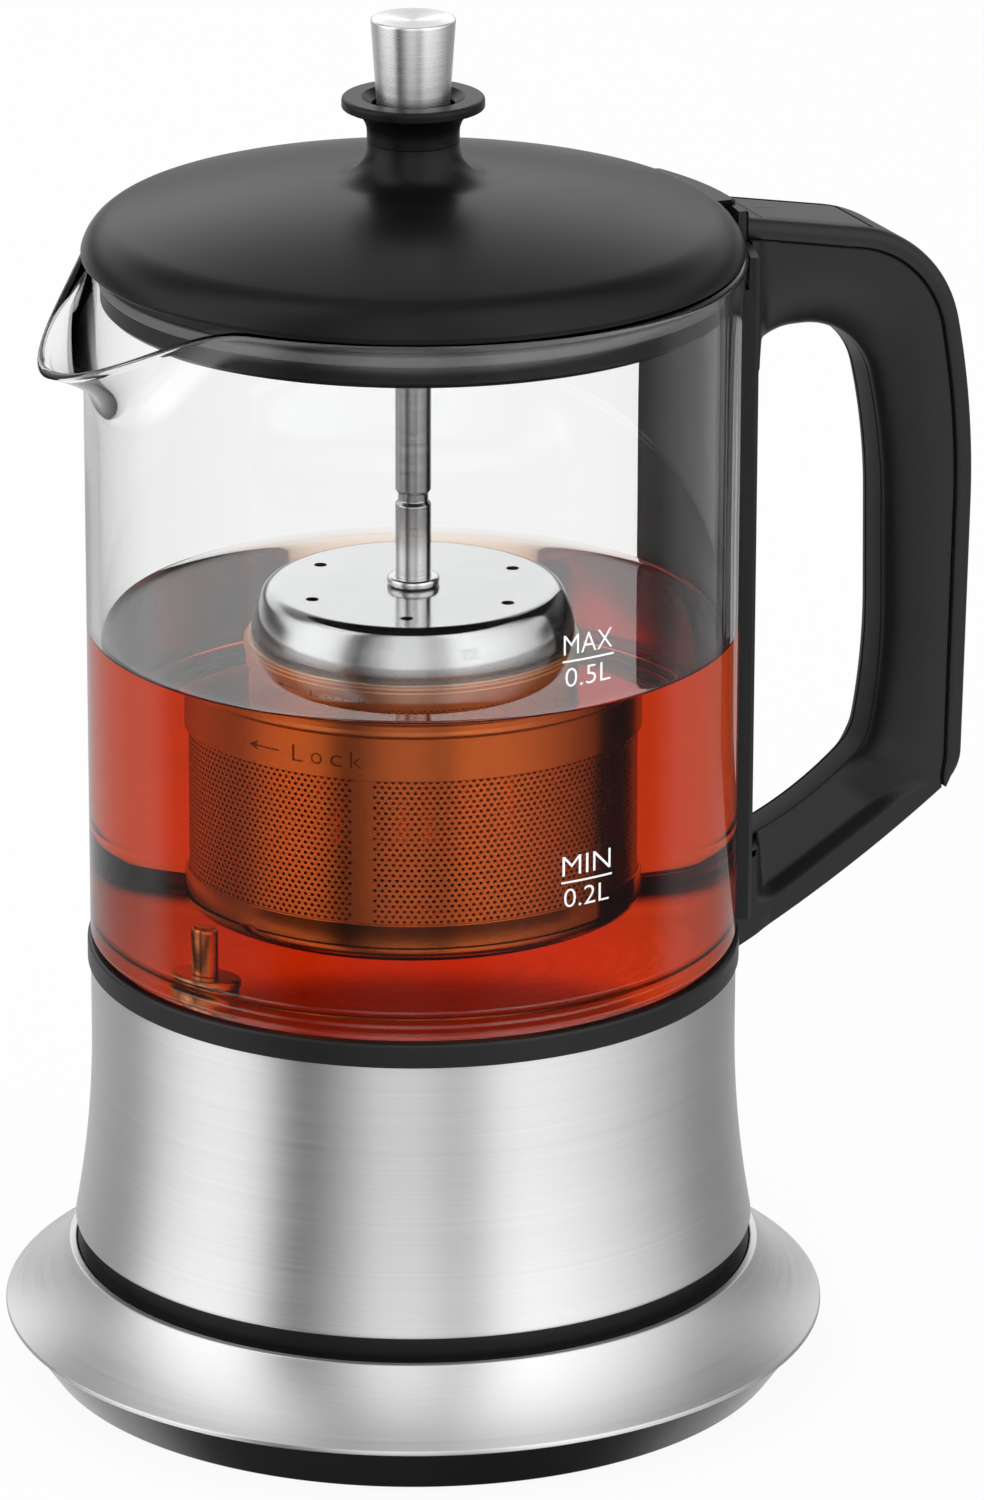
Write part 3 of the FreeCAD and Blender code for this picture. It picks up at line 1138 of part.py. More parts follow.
# ---------------------------------------------------------------- infuser
knob_radius = size("knob_radius", 6.75, "knob, radius at its top")
knob_top = size("knob_top", 225.3, "height of the knob's top")
knob_waist = size("knob_waist", 5.6, "knob, radius at its lower end")
knob_low = size("knob_low", 208.5, "height of the knob's underside")
knob_dish = size("knob_dish", 0.4, "depth of the knob's dished top")
rod_top = size("rod_top", 220.5, "height of the rod's upper end inside the knob")
rod_flange_radius = size("rod_flange_radius", 4.24, "rod flange, radius")
rod_flange_height = size("rod_flange_height", 1.5, "rod flange, thickness")
cap_top = size("cap_top", 132.2, "height of the strainer cap's top")
cap_flat = size("cap_flat", 18.0, "strainer cap, radius of its flat top")
cap_radius = size("cap_radius", 26.1, "strainer cap, outside")
cap_low = size("cap_low", 122.6, "height of the strainer cap's lower edge")
cap_sheet = size("cap_sheet", 0.8, "strainer cap, sheet thickness")
stud_radius = size("stud_radius", 2.2, "threaded end of the rod below its flange")
stud_length = size("stud_length", 4.6, "length of that threaded end")
lift_height = size("lift_height", 57.3, "how far the infuser lifts to its upper notch")
groove_width = size("groove_width", 1.6, "width of the rod's notches")
groove_depth = size("groove_depth", 0.45, "depth of the rod's notches")
vent_count = size("vent_count", 6, "vents in the strainer's cap")
vent_radius = size("vent_radius", 0.7, "radius of a vent")
vent_turn = size("vent_turn", 6.5, "direction of the first vent")

# The knob: brushed stainless steel, turned from bar and pressed on the rod.
knob = body("knob")
turned(knob, [
    (0, rod_top), (rod_radius, rod_top), (rod_radius, knob_low), (knob_waist, knob_low),
    (knob_radius, knob_top - 0.8, 0.8), (knob_radius - 0.8, knob_top), (knob_radius - 2, knob_top),
    (0, knob_top - knob_dish),
])

# The rod: polished stainless steel with two notches that hold the strainer up or down.
flange_top = cap_top + rod_flange_height
infuser_rod = body("infuser_rod")
turned(infuser_rod, [
    (0, cap_top - stud_length), (stud_radius, cap_top - stud_length), (stud_radius, cap_top),
    (rod_radius, cap_top), (rod_radius, rod_top), (0, rod_top),
])
for level in (detent_height, detent_height - lift_height):
    turned(infuser_rod, ring_section(rod_radius - groove_depth, rod_radius + 1,
                                     level - groove_width / 2, level + groove_width / 2), groove=True)

# The rod flange: stainless washer pressed on the rod, rests on the cap.
rod_flange = body("rod_flange")
turned(rod_flange, [
    (rod_radius, cap_top), (rod_flange_radius, cap_top), (rod_flange_radius, flange_top - 0.3),
    (rod_flange_radius - 0.3, flange_top), (rod_radius, flange_top),
])

# The strainer cap: pressed stainless sheet, domed edge, six vents and three inward lugs.
cap_round = cap_radius - cap_flat
cap_inner = cap_radius - cap_sheet
lug_low = size("lug_low", 123.7, "height of the cap lugs' underside")
lug_height = size("lug_height", 1.0, "height of the cap's lugs")
lug_reach = size("lug_reach", 1.3, "how far the cap's lugs reach inwards")
lug_half_angle = size("lug_half_angle", 3.0, "half of the angle that a lug takes")
strainer_cap = body("strainer_cap")
turned(strainer_cap, [
    (stud_radius + slip / 2, cap_top - cap_sheet), (cap_flat, cap_top - cap_sheet, -(cap_round - cap_sheet)),
    (cap_inner, cap_top - cap_round), (cap_inner, cap_low), (cap_radius, cap_low),
    (cap_radius, cap_top - cap_round, cap_round), (cap_flat, cap_top),
    (stud_radius + slip / 2, cap_top),
])
vent = sunk(strainer_cap, "XY_Plane", cap_top + 1, cap_sheet + 2,
            circles=[(*polar(cap_flat, vent_turn), vent_radius)])
around(strainer_cap, [vent], vent_count)
cap_lug = raised(strainer_cap, "XY_Plane", lug_low, lug_height,
                 outlines=[sector(cap_inner - lug_reach, cap_inner + 0.2, -lug_half_angle,
                                  lug_half_angle)])
around(strainer_cap, [cap_lug], screw_count)

# The cap nut: stainless hexagon nut under the cap.
cap_nut_flat = size("cap_nut_flat", 4.0, "cap nut, half its width across flats")
cap_nut_height = size("cap_nut_height", 2.4, "cap nut, height")
cap_nut = body("cap_nut")
raised(cap_nut, "XY_Plane", cap_top - cap_sheet - cap_nut_height, cap_nut_height,
       outlines=[hexagon(cap_nut_flat)], circles=[(0, 0, stud_radius + running)])

# ---------------------------------------------------------------- strainer basket
basket_radius = size("basket_radius", 27.0, "strainer basket, outside")
basket_sheet = size("basket_sheet", 0.5, "strainer basket, sheet thickness")
sleeve_sheet = size("sleeve_sheet", 0.4, "perforated sleeve, sheet thickness")
collar_shoulder = size("collar_shoulder", 121.7, "height of the basket collar's shoulder")
collar_edge = size("collar_edge", 110.0, "height of the basket collar's lower edge")
bead_low = size("bead_low", 117.7, "height of the lower bead")
bead_high = size("bead_high", 119.8, "height of the upper bead")
bead_size = size("bead_size", 0.35, "how far a bead stands out")
basket_neck_top = size("basket_neck_top", 125.4, "height of the neck inside the cap")
cup_edge = size("cup_edge", 86.0, "height of the cup's upper edge")
cup_low = size("cup_low", 79.5, "height of the cup's underside")
cup_corner = size("cup_corner", 4.0, "radius of the cup's rounded corner")
sleeve_overlap = size("sleeve_overlap", 2.0, "how far the sleeve reaches into collar and cup")
twist_angle = size("twist_angle", 20.0, "angle that the basket turns to unlock")

# The basket collar: spun stainless sheet with two beads; slots in its neck take the cap's lugs.
neck_outer = cap_inner - slip
neck_bore = neck_outer - basket_sheet
collar_inner = basket_radius - basket_sheet
basket_collar = body("basket_collar")
outline = [(collar_inner, collar_edge), (basket_radius, collar_edge)]
for bead in (bead_low, bead_high):
    outline += [(basket_radius, bead - 0.6, bead_size * 2), (basket_radius + bead_size, bead, bead_size * 2),
                (basket_radius, bead + 0.6)]
outline += [
    (basket_radius, collar_shoulder), (neck_outer, collar_shoulder), (neck_outer, basket_neck_top),
    (neck_bore, basket_neck_top), (neck_bore, collar_shoulder - basket_sheet),
    (collar_inner, collar_shoulder - basket_sheet),
]
turned(basket_collar, outline)
slot_play = size("slot_play", 1.2, "angle of play beside a lug in its slot")
slot_from = -lug_half_angle - slot_play - twist_angle
slot_to = lug_half_angle + slot_play
entry_to = lug_half_angle + slot_play - twist_angle
lug_top = lug_low + lug_height
across_slot = sunk(basket_collar, "XY_Plane", lug_top + slip, lug_height + 2 * slip,
                   outlines=[sector(neck_bore - 1, neck_outer + 0.1, slot_from, slot_to)])
entry_slot = sunk(basket_collar, "XY_Plane", basket_neck_top + 1, basket_neck_top + 1 - lug_low,
                  outlines=[sector(neck_bore - 1, neck_outer + 0.1, slot_from, entry_to)])
around(basket_collar, [across_slot, entry_slot], screw_count)

# The sleeve: stainless sheet rolled to a tube, drawn here without its perforation.
basket_sleeve = body("basket_sleeve")
turned(basket_sleeve, ring_section(collar_inner - sleeve_sheet, collar_inner,
                                   cup_edge - sleeve_overlap, collar_edge + sleeve_overlap))

# The cup: drawn stainless bottom of the basket, welded round the sleeve's lower end.
basket_cup = body("basket_cup")
turned(basket_cup, [
    (0, cup_low), (basket_radius - cup_corner, cup_low, cup_corner), (basket_radius, cup_low + cup_corner),
    (basket_radius, cup_edge), (collar_inner, cup_edge),
    (collar_inner, cup_low + cup_corner, -(cup_corner - basket_sheet)),
    (basket_radius - cup_corner, cup_low + basket_sheet), (0, cup_low + basket_sheet),
])

# ---------------------------------------------------------------- write the sub-parts
doc.recompute()
for feature in doc.Objects:
    if "Invalid" in feature.State or "Error" in feature.State:
        raise RuntimeError(f"{feature.Label} failed: {feature.State}")
for piece in sub_parts:
    if piece.Shape.isNull() or not piece.Shape.isValid() or not piece.Shape.Solids:
        raise RuntimeError(f"{piece.Label} has no valid solid")
for piece in sub_parts:
    piece.Shape.exportStep(f"parts/{piece.Label}.step")
print(len(sub_parts), "sub-parts written")
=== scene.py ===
import json
import math
from functools import partialmethod

import bmesh
import bpy
from mathutils import Matrix, Vector


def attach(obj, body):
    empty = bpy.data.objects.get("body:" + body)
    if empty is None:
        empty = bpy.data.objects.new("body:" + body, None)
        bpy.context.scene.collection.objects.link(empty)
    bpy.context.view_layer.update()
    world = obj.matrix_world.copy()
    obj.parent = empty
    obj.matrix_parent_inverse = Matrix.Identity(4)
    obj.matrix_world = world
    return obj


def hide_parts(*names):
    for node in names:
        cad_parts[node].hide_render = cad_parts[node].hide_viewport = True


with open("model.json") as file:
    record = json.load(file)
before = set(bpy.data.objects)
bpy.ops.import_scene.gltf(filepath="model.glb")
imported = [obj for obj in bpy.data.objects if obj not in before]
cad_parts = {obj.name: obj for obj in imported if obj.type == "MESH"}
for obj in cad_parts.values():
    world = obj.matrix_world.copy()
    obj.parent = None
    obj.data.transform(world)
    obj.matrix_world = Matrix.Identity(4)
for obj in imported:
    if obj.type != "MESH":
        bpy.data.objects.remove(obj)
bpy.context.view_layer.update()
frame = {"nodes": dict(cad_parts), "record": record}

# ---------------------------------------------------------------- foot of the base
# The foot is a black plastic pan with a slanted wall and a rubber ring pressed into its underside.
# It is moulded in one piece and screwed to the deck; a gland for the mains cord sits in its wall.
MM = 0.001


class Wire:
    """A value in a node tree. Arithmetic on wires adds the Math nodes that do it."""

    def __init__(self, board, socket):
        self.board, self.socket = board, socket

    def out(self, key):
        """Another output of the same node."""
        return Wire(self.board, self.socket.node.outputs[key])

    def then(self, operation, *others):
        """What a Math node makes of this value and the others."""
        return self.board.node("ShaderNodeMath", dict(enumerate((self, *others))), operation=operation)

    def __rsub__(self, other):
        return self.board.node("ShaderNodeMath", {0: other, 1: self}, operation="SUBTRACT")

    __add__ = __radd__ = partialmethod(then, "ADD")
    __sub__ = partialmethod(then, "SUBTRACT")
    __mul__ = __rmul__ = partialmethod(then, "MULTIPLY")
    __truediv__ = partialmethod(then, "DIVIDE")
    __gt__ = partialmethod(then, "GREATER_THAN")
    __lt__ = partialmethod(then, "LESS_THAN")


class Board:
    """A node tree being filled in. One method places every kind of node."""

    family = "ShaderNode"

    def __init__(self, tree):
        self.tree = tree
        tree.nodes.clear()

    def node(self, kind, sockets=None, give=0, **settings):
        made = self.tree.nodes.new(kind if "Node" in kind else self.family + kind)
        for name, value in settings.items():
            if name == "stops":
                ramp = made.color_ramp.elements
                while len(ramp) < len(value):
                    ramp.new(1.0)
                for element, (place, level) in zip(ramp, value):
                    element.position = place
                    element.color = (level, level, level, 1.0)
            else:
                setattr(made, name, value)
        for key, value in (sockets or {}).items():
            if isinstance(value, Wire):
                self.tree.links.new(value.socket, made.inputs[key])
            else:
                made.inputs[key].default_value = value
        return Wire(self, made.outputs[give]) if made.outputs else made


class Finish(Board):
    """A material: nodes are placed on it, and coat() closes it with its surface."""

    def __init__(self, name):
        self.material = bpy.data.materials.new(name)
        self.material.use_nodes = True
        super().__init__(self.material.node_tree)
        self.place = self.node("TexCoord", give="Object")
        parts = self.node("SeparateXYZ", {0: self.place})
        self.x, self.y, self.z = parts, parts.out("Y"), parts.out("Z")

    def speckle(self, scale, detail=2.0, vector=None):
        """Noise between 0 and 1 with about scale cells to the metre."""
        return self.node("TexNoise", {
            "Vector": vector or self.place, "Scale": scale, "Detail": detail})

    def between(self, mask, low, high):
        """A colour that goes from low to high as mask goes from 0 to 1."""
        return self.node("Mix", {0: mask, 6: (*low, 1.0), 7: (*high, 1.0)}, give=2,
                         data_type="RGBA")

    def bump(self, height, depth):
        """A normal for a relief of depth metres."""
        return self.node("Bump", {"Height": height, "Distance": depth})

    def coat(self, volume=None, **sockets):
        surface = self.node("BsdfPrincipled", {
            name.replace("_", " ").title().replace("Ior", "IOR"): value
            for name, value in sockets.items()})
        ends = {"Surface": surface}
        if volume:
            ends["Volume"] = volume
        self.node("OutputMaterial", ends)
        return self.material


def moulded(name, dark, light, roughness, grain=2500.0, depth=0.00002, **sockets):
    """Plastic or rubber: a fine moulded grain, and a slow change of tone and gloss over the piece."""
    made = Finish(name)
    cloud = made.speckle(28.0, 3.0)
    pores = made.speckle(grain, 1.0)
    return made.coat(base_color=made.between(cloud, dark, light),
                     roughness=roughness + (cloud - 0.5) * 0.10 + (pores - 0.5) * 0.06,
                     normal=made.bump(pores, depth), **sockets)


def bow(start, end, radius, parts=10):
    """Points between start and end on the arc that joins them; it turns left if radius is positive."""
    across, up = end[0] - start[0], end[1] - start[1]
    chord = math.hypot(across, up)
    rise = math.copysign(math.sqrt(max(radius ** 2 - chord ** 2 / 4, 0.0)), radius)
    x, z = (start[0] + end[0]) / 2 - up / chord * rise, (start[1] + end[1]) / 2 + across / chord * rise
    first = math.atan2(start[1] - z, start[0] - x)
    last = math.atan2(end[1] - z, end[0] - x)
    turn = (last - first + math.pi) % (2 * math.pi) - math.pi
    return [(x + abs(radius) * math.cos(first + turn * number / parts),
             z + abs(radius) * math.sin(first + turn * number / parts), 0.0)
            for number in range(1, parts)]


def softened(outline, fillet):
    """The outline with its corners rounded; a corner's third value is its own radius."""
    rounded = []
    count = len(outline)
    for number, corner in enumerate(outline):
        here = Vector(corner[:2])
        radius = corner[2] if len(corner) == 3 else fillet
        if radius == 0.0 or here.x < 1e-6:
            rounded.append(tuple(here))
            continue
        back = Vector(outline[number - 1][:2]) - here
        ahead = Vector(outline[(number + 1) % count][:2]) - here
        half = back.angle(ahead) / 2
        cut = min(radius / math.tan(half), 0.42 * back.length, 0.42 * ahead.length)
        start, end = back.normalized(), ahead.normalized()
        guard = min(0.08, 0.1 * cut + 0.02)
        rounded.append(tuple(here + start * (cut + guard)))
        for step in (0.0, 0.2, 0.4, 0.6, 0.8, 1.0):
            rounded.append(tuple(here + start * (cut * (1 - step) ** 2) + end * (cut * step ** 2)))
        rounded.append(tuple(here + end * (cut + guard)))
    return rounded


def skinned(rows, closed=True):
    """A mesh over rows of points in millimetres. A row of one point is a pole; each row is a ring."""
    shape = bmesh.new()
    rings = [[shape.verts.new([value * MM for value in point]) for point in row] for row in rows]
    pairs = list(zip(rings, rings[1:])) + ([(rings[-1], rings[0])] if closed else [])
    for low, high in pairs:
        count = max(len(low), len(high))
        for number in range(count):
            after = (number + 1) % count
            corners = [low[number % len(low)], low[after % len(low)],
                       high[after % len(high)], high[number % len(high)]]
            corners = [corner for place, corner in enumerate(corners) if corner not in corners[:place]]
            if len(corners) > 2:
                shape.faces.new(corners)
    if not closed:
        for ring in (rings[0], rings[-1]):
            if len(ring) > 2:
                shape.faces.new(ring)
    bmesh.ops.remove_doubles(shape, verts=shape.verts[:], dist=1e-7)
    bmesh.ops.recalc_face_normals(shape, faces=shape.faces[:])
    return shape


def around(radius, angle, height, centre=(0.0, 0.0)):
    """A point at an angle on an upright circle."""
    return centre[0] + radius * math.cos(angle), centre[1] + radius * math.sin(angle), height


def hoop(radius, height, centre=(0.0, 0.0), steps=192):
    """Points round an upright axis; a hoop of no radius is one point."""
    return [around(radius, 2 * math.pi * step / steps, height, centre)
            for step in range(steps if radius > 1e-6 else 1)]


def spun(outline, fillet=0.25, centre=(0.0, 0.0), steps=192):
    """An outline of (radius, height) corners, rounded and turned about an upright axis."""
    rows = [hoop(*point, centre, steps) for point in softened(outline, fillet)]
    return skinned(rows, closed=outline[0][0] > 1e-6 or outline[-1][0] > 1e-6)


def meshed(shape):
    """The shape as a mesh; the shape is used up."""
    mesh = bpy.data.meshes.new("stock")
    shape.to_mesh(mesh)
    shape.free()
    return mesh


def added(name, data):
    """A new object in the scene for a mesh, a text, a lamp or a camera."""
    made = bpy.data.objects.new(name, data)
    bpy.context.scene.collection.objects.link(made)
    return made


def placed(name, shape, finish, body, stands_for=(), sharp=35.0):
    """Make a piece of a shape or mesh, give it its finish, and let it ride on a body."""
    mesh = meshed(shape) if isinstance(shape, bmesh.types.BMesh) else shape
    mesh.name = name
    mesh.materials.clear()
    mesh.materials.append(finish)
    mesh.shade_smooth()
    mesh.set_sharp_from_angle(angle=math.radians(sharp))
    piece = added(name, mesh)
    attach(piece, body)
    if stands_for:
        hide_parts(*stands_for)


def worked_out(blank):
    """The mesh of an object with its modifiers applied; the object is removed."""
    bpy.context.view_layer.update()
    mesh = bpy.data.meshes.new_from_object(blank.evaluated_get(bpy.context.evaluated_depsgraph_get()))
    blank.modifiers.clear()
    bpy.data.objects.remove(blank)
    return mesh


def drilled(shape, drill):
    """The shape with the drill's volume cut away, as a mesh."""
    tool, blank = added("drill", meshed(drill)), added("blank", meshed(shape))
    cutter = blank.modifiers.new("cut", "BOOLEAN")
    cutter.operation, cutter.object = "DIFFERENCE", tool
    mesh = worked_out(blank)
    bpy.data.objects.remove(tool)
    return mesh


gloss_black = moulded("gloss_black_plastic", (0.004, 0.004, 0.0042), (0.006, 0.006, 0.0063), 0.24,
                      grain=1500.0, depth=0.000004, specular_ior_level=0.4)
rubber = moulded("black_rubber", (0.020, 0.020, 0.020), (0.030, 0.030, 0.030), 0.75)

FOOT_TOP = 8.9
foot_pan = spun([(0, 0.6), (60.5, 0.6, 0.9), (66.4, FOOT_TOP, 0.5), (64.4, FOOT_TOP), (58.5, 2.2),
                 (0, 2.2)])
GLAND_RADIUS, GLAND_PLACE = 3.2, (63.0, 0.0, 5.3)
gland_hole = bmesh.new()
bmesh.ops.create_cone(
    gland_hole, cap_ends=True, segments=48, radius1=GLAND_RADIUS * MM, radius2=GLAND_RADIUS * MM,
    depth=12.0 * MM,
    matrix=Matrix.Translation(Vector(GLAND_PLACE) * MM) @ Matrix.Rotation(math.pi / 2, 4, "Y"))
placed("foot_pan", drilled(foot_pan, gland_hole), gloss_black, "base", ["base_foot"])
table_ring = [(50, 0), (55, 0), (55, 1.4), (50, 1.4)]
placed("table_ring", spun(table_ring, 0.3), rubber, "base", ["foot_ring"])

# ---------------------------------------------------------------- skirt of the base
# The skirt is stainless sheet spun to a hollow flare, brushed along its turning, with both edges
# hemmed inwards. It is clipped between the foot and the deck.


def brushed(name, dark, light, roughness, fine=5200.0, grain=0.000006, spread=0.65, turn=0.25):
    """Steel with fine lines running round the upright axis, as spinning and brushing leave them."""
    made = Finish(name)
    radius = (made.x * made.x + made.y * made.y).then("SQRT")
    level = made.z - radius

    def lines(along, across):
        return made.speckle(1.0, 2.0, made.node("CombineXYZ", {
            0: made.x * along, 1: made.y * along, 2: level * across}))

    hair, band, cloud = lines(16.0, fine), lines(7.0, fine / 7), made.speckle(14.0, 2.0)
    tone = hair * 0.55 + band * 0.30 + cloud * 0.15
    return made.coat(base_color=made.between(tone, dark, light), metallic=1.0,
                     roughness=roughness + (hair - 0.5) * 0.16 + (band - 0.5) * 0.10,
                     anisotropic=spread, anisotropic_rotation=turn,
                     normal=made.bump(hair * 0.7 + band * 0.3, grain))


def steel(level):
    """A steel's colour of a given brightness."""
    return (level, level, level + 0.005)


brushed_steel = brushed("brushed_steel", steel(0.53), steel(0.77), 0.35, spread=0.93)
SKIRT_RADIUS, SKIRT_NECK, SKIRT_TOP, SKIRT_FLARE = 67.2, 56.6, 20.0, 24
SHEET, SKIRT_HEM, NECK_HEM = 0.8, 2.0, 1.2
low_outside, top_outside = (SKIRT_RADIUS, FOOT_TOP + SHEET), (SKIRT_NECK, SKIRT_TOP)
low_inside = (SKIRT_RADIUS - SKIRT_HEM, FOOT_TOP + SHEET)
top_inside = (SKIRT_NECK - SHEET, SKIRT_TOP - SHEET)
skirt = [(SKIRT_RADIUS - SKIRT_HEM, FOOT_TOP), (SKIRT_RADIUS, FOOT_TOP, 0.35), (*low_outside, 0.35),
         *bow(low_outside, top_outside, -SKIRT_FLARE, 16), (*top_outside, 0.35),
         (SKIRT_NECK - NECK_HEM, SKIRT_TOP, 0.3), (SKIRT_NECK - NECK_HEM, SKIRT_TOP - SHEET), top_inside,
         *bow(top_inside, low_inside, SKIRT_FLARE + SHEET, 16), low_inside]
placed("skirt", spun(skirt), brushed_steel, "base", ["base_skirt"])

# ---------------------------------------------------------------- jug housing
# The housing is a sleeve of the same brushed stainless sheet, straight above and flaring below,
# with a hem at the bottom. The jug's bottom cover is pushed in from below and screwed to the ring.
HOUSING_FOOT, HOUSING_NECK, HOUSING_LOW, HOUSING_TOP = 55.6, 52.5, 23.9, 69.0
STRAIGHT_FROM, HOUSING_FLARE, HOUSING_HEM = 57.0, 178.3, 2.2
hem_inside, neck_inside = (HOUSING_FOOT - SHEET, HOUSING_LOW + SHEET), (HOUSING_NECK - SHEET, STRAIGHT_FROM)
housing = [(HOUSING_FOOT - HOUSING_HEM, HOUSING_LOW), (HOUSING_FOOT, HOUSING_LOW, 0.5),
           *bow((HOUSING_FOOT, HOUSING_LOW), (HOUSING_NECK, STRAIGHT_FROM), -HOUSING_FLARE, 20),
           (HOUSING_NECK, STRAIGHT_FROM, 0), (HOUSING_NECK, HOUSING_TOP, 0.25),
           (HOUSING_NECK - SHEET, HOUSING_TOP, 0.2), (*neck_inside, 0),
           *bow(neck_inside, hem_inside, HOUSING_FLARE + SHEET, 20), hem_inside,
           (HOUSING_FOOT - HOUSING_HEM, HOUSING_LOW + SHEET)]
placed("housing_sleeve", spun(housing), brushed_steel, "jug", ["steel_housing"])

# ---------------------------------------------------------------- ring under the glass
# The ring is black plastic. It plugs into the housing's top, stands half a millimetre proud of it,
# and carries the glass and the heated floor on a shelf.
satin_black = moulded("satin_black_plastic", (0.006, 0.006, 0.0065), (0.009, 0.009, 0.0095), 0.36,
                      grain=3000.0, depth=0.000006, specular_ior_level=0.3)
RING_LOW, SHELF, RING_TOP = 62.0, 64.0, 73.0
glass_ring = [(42.6, RING_LOW), (51.5, RING_LOW), (51.5, HOUSING_TOP, 0.1), (53.0, HOUSING_TOP, 0.25),
              (53.0, RING_TOP, 0.6), (49.8, RING_TOP), (49.8, SHELF), (42.6, SHELF)]
placed("glass_ring", spun(glass_ring), satin_black, "jug", ["jug_ring"])

# ---------------------------------------------------------------- glass
# The glass is a blown borosilicate tube: a narrowed lower end inside the ring, a fire-polished rim
# that widens a little, and a spout pulled from the rim while hot.
glass_body = Finish("clear_glass")
clear_glass = glass_body.coat(
    base_color=(0.995, 1.0, 0.998, 1.0), roughness=0.0, ior=1.41, transmission_weight=1.0,
    normal=glass_body.bump(glass_body.speckle(30.0, 1.0), 0.0001))
GLASS_OUTER, GLASS_INNER = 52.5, 50.2
RIM, LIP_FLARE = 187.0, 0.8
SPOUT_START, SPOUT_HALF_ANGLE, SPOUT_DIP, SPOUT_REACH = 160.0, 39.0, 12.4, 11.4
GLASS_STEPS, RIM_ROUND, ROUND_START = 240, 0.95, 0.965


def glass_row(rise, inset, lift=0.0):
    """A ring of points on the glass's upper part; rise goes from 0 at the spout's start to 1 at the rim."""
    row = []
    for number in range(GLASS_STEPS):
        angle = 2 * math.pi * number / GLASS_STEPS
        away = abs(math.degrees(math.pi - angle)) / SPOUT_HALF_ANGLE
        pull = math.cos(away ** 0.9 * math.pi / 2) ** 2 if away < 1 else 0.0
        top = RIM - SPOUT_DIP * pull
        reach = GLASS_OUTER - inset + LIP_FLARE * rise ** 8 + SPOUT_REACH * pull ** 1.45 * rise ** 4
        level = SPOUT_START + rise * (top - SPOUT_START) + lift
        row.append(around(reach, angle, level))
    return row


rises = [number / 24 for number in range(24)] + [ROUND_START]
wall = GLASS_OUTER - GLASS_INNER
outside = [(47.3, 66.0, 0.6), (49.6, 66.0, 0.6), (49.6, RING_TOP, 0.5), (51.3, RING_TOP, 0.6),
           (GLASS_OUTER, 74.2, 1.2), (GLASS_OUTER, 158.0, 0.0)]
inside = [(GLASS_INNER, 158.0, 0.0), (GLASS_INNER, 76.8, 1.4), (47.3, 75.4, 1.2), (47.3, 66.0, 0.0)]
glass_rows = [hoop(*point, steps=GLASS_STEPS) for point in softened(outside, 0.5)[:-1]]
glass_rows += [hoop(GLASS_OUTER, height, steps=GLASS_STEPS) for height in (90.0, 110.0, 130.0, 150.0)]
glass_rows += [glass_row(rise, 0.0) for rise in rises]
for turn in range(1, 8):
    bend = math.pi * turn / 8
    inset, lift = wall / 2 * (1 - math.cos(bend)), RIM_ROUND * math.sin(bend)
    glass_rows.append(glass_row(ROUND_START, inset, lift))
glass_rows += [glass_row(rise, wall) for rise in reversed(rises)]
glass_rows += [hoop(*point, steps=GLASS_STEPS) for point in softened(inside, 0.5)[:-1]]
placed("glass_jug", skinned(glass_rows), clear_glass, "jug", ["jug_glass"], sharp=80.0)

# ---------------------------------------------------------------- heated floor and its sensor
# The floor of the jug is a brushed stainless plate pressed into the seal, and the steel sensor tube
# stands through it on its own flange.
FLOOR_TOP = 71.0
# Its colour is steel's, raised well above the other steel's to paint in the light that glows up from the
# floor through the tea.
floor_steel = brushed("floor_steel", steel(0.86), steel(0.96), 0.22, fine=3800.0, grain=0.000002,
                      spread=0.0)
heated_floor = [(0, 70.0), (44.8, 70.0), (44.8, SHELF), (45.8, SHELF), (45.8, FLOOR_TOP, 1.0),
                (0, FLOOR_TOP)]
placed("heated_floor", spun(heated_floor), floor_steel, "jug", ["heating_plate"])
plain_steel = brushed("plain_steel", steel(0.58), steel(0.74), 0.20, fine=7000.0, grain=0.000002,
                      spread=0.3)
SENSOR_PLACE = (-31.42, -2.20)
sensor = [(0, RING_LOW), (2.6, RING_LOW), (2.6, 71.6), (5.2, 71.6, 0.3), (5.2, 73.1, 0.4), (2.0, 73.1, 0.3),
          (2.0, 81.2, 1.0), (0, 81.2)]
placed("sensor_tube", spun(sensor, centre=SENSOR_PLACE, steps=64), plain_steel, "jug",
       ["temperature_sensor"])

# ---------------------------------------------------------------- tea
# Black tea stands a finger's breadth below the upper mark and wets the glass a little above its
# surface. It is clear and strongly coloured, so it darkens with depth.
brew = Finish("black_tea")
black_tea = brew.coat(
    base_color=(1.0, 1.0, 1.0, 1.0), roughness=0.0, ior=1.333, transmission_weight=1.0,
    normal=brew.bump(brew.speckle(18.0, 1.0), 0.00004),
    volume=brew.node("VolumeAbsorption", {
        "Color": (0.915, 0.48, 0.06, 1.0), "Density": 76.0}))
TEA_TOP, TEA_RADIUS, CLIMB = 125.0, 50.3, 0.8
climb = [(radius, TEA_TOP + CLIMB * math.exp((radius - TEA_RADIUS) / CLIMB), 0.0)
         for radius in (TEA_RADIUS, 50.1, 49.8, 49.5, 49.1, 48.6, 48.0, 47.0, 45.0)]
tea_shape = [(0, 70.9), (47.4, 70.9, 0), (47.4, 75.35, 1.2), (TEA_RADIUS, 76.75, 1.4), *climb,
             (30, TEA_TOP, 0), (0, TEA_TOP)]
placed("tea", spun(tea_shape), black_tea, "jug", sharp=60.0)

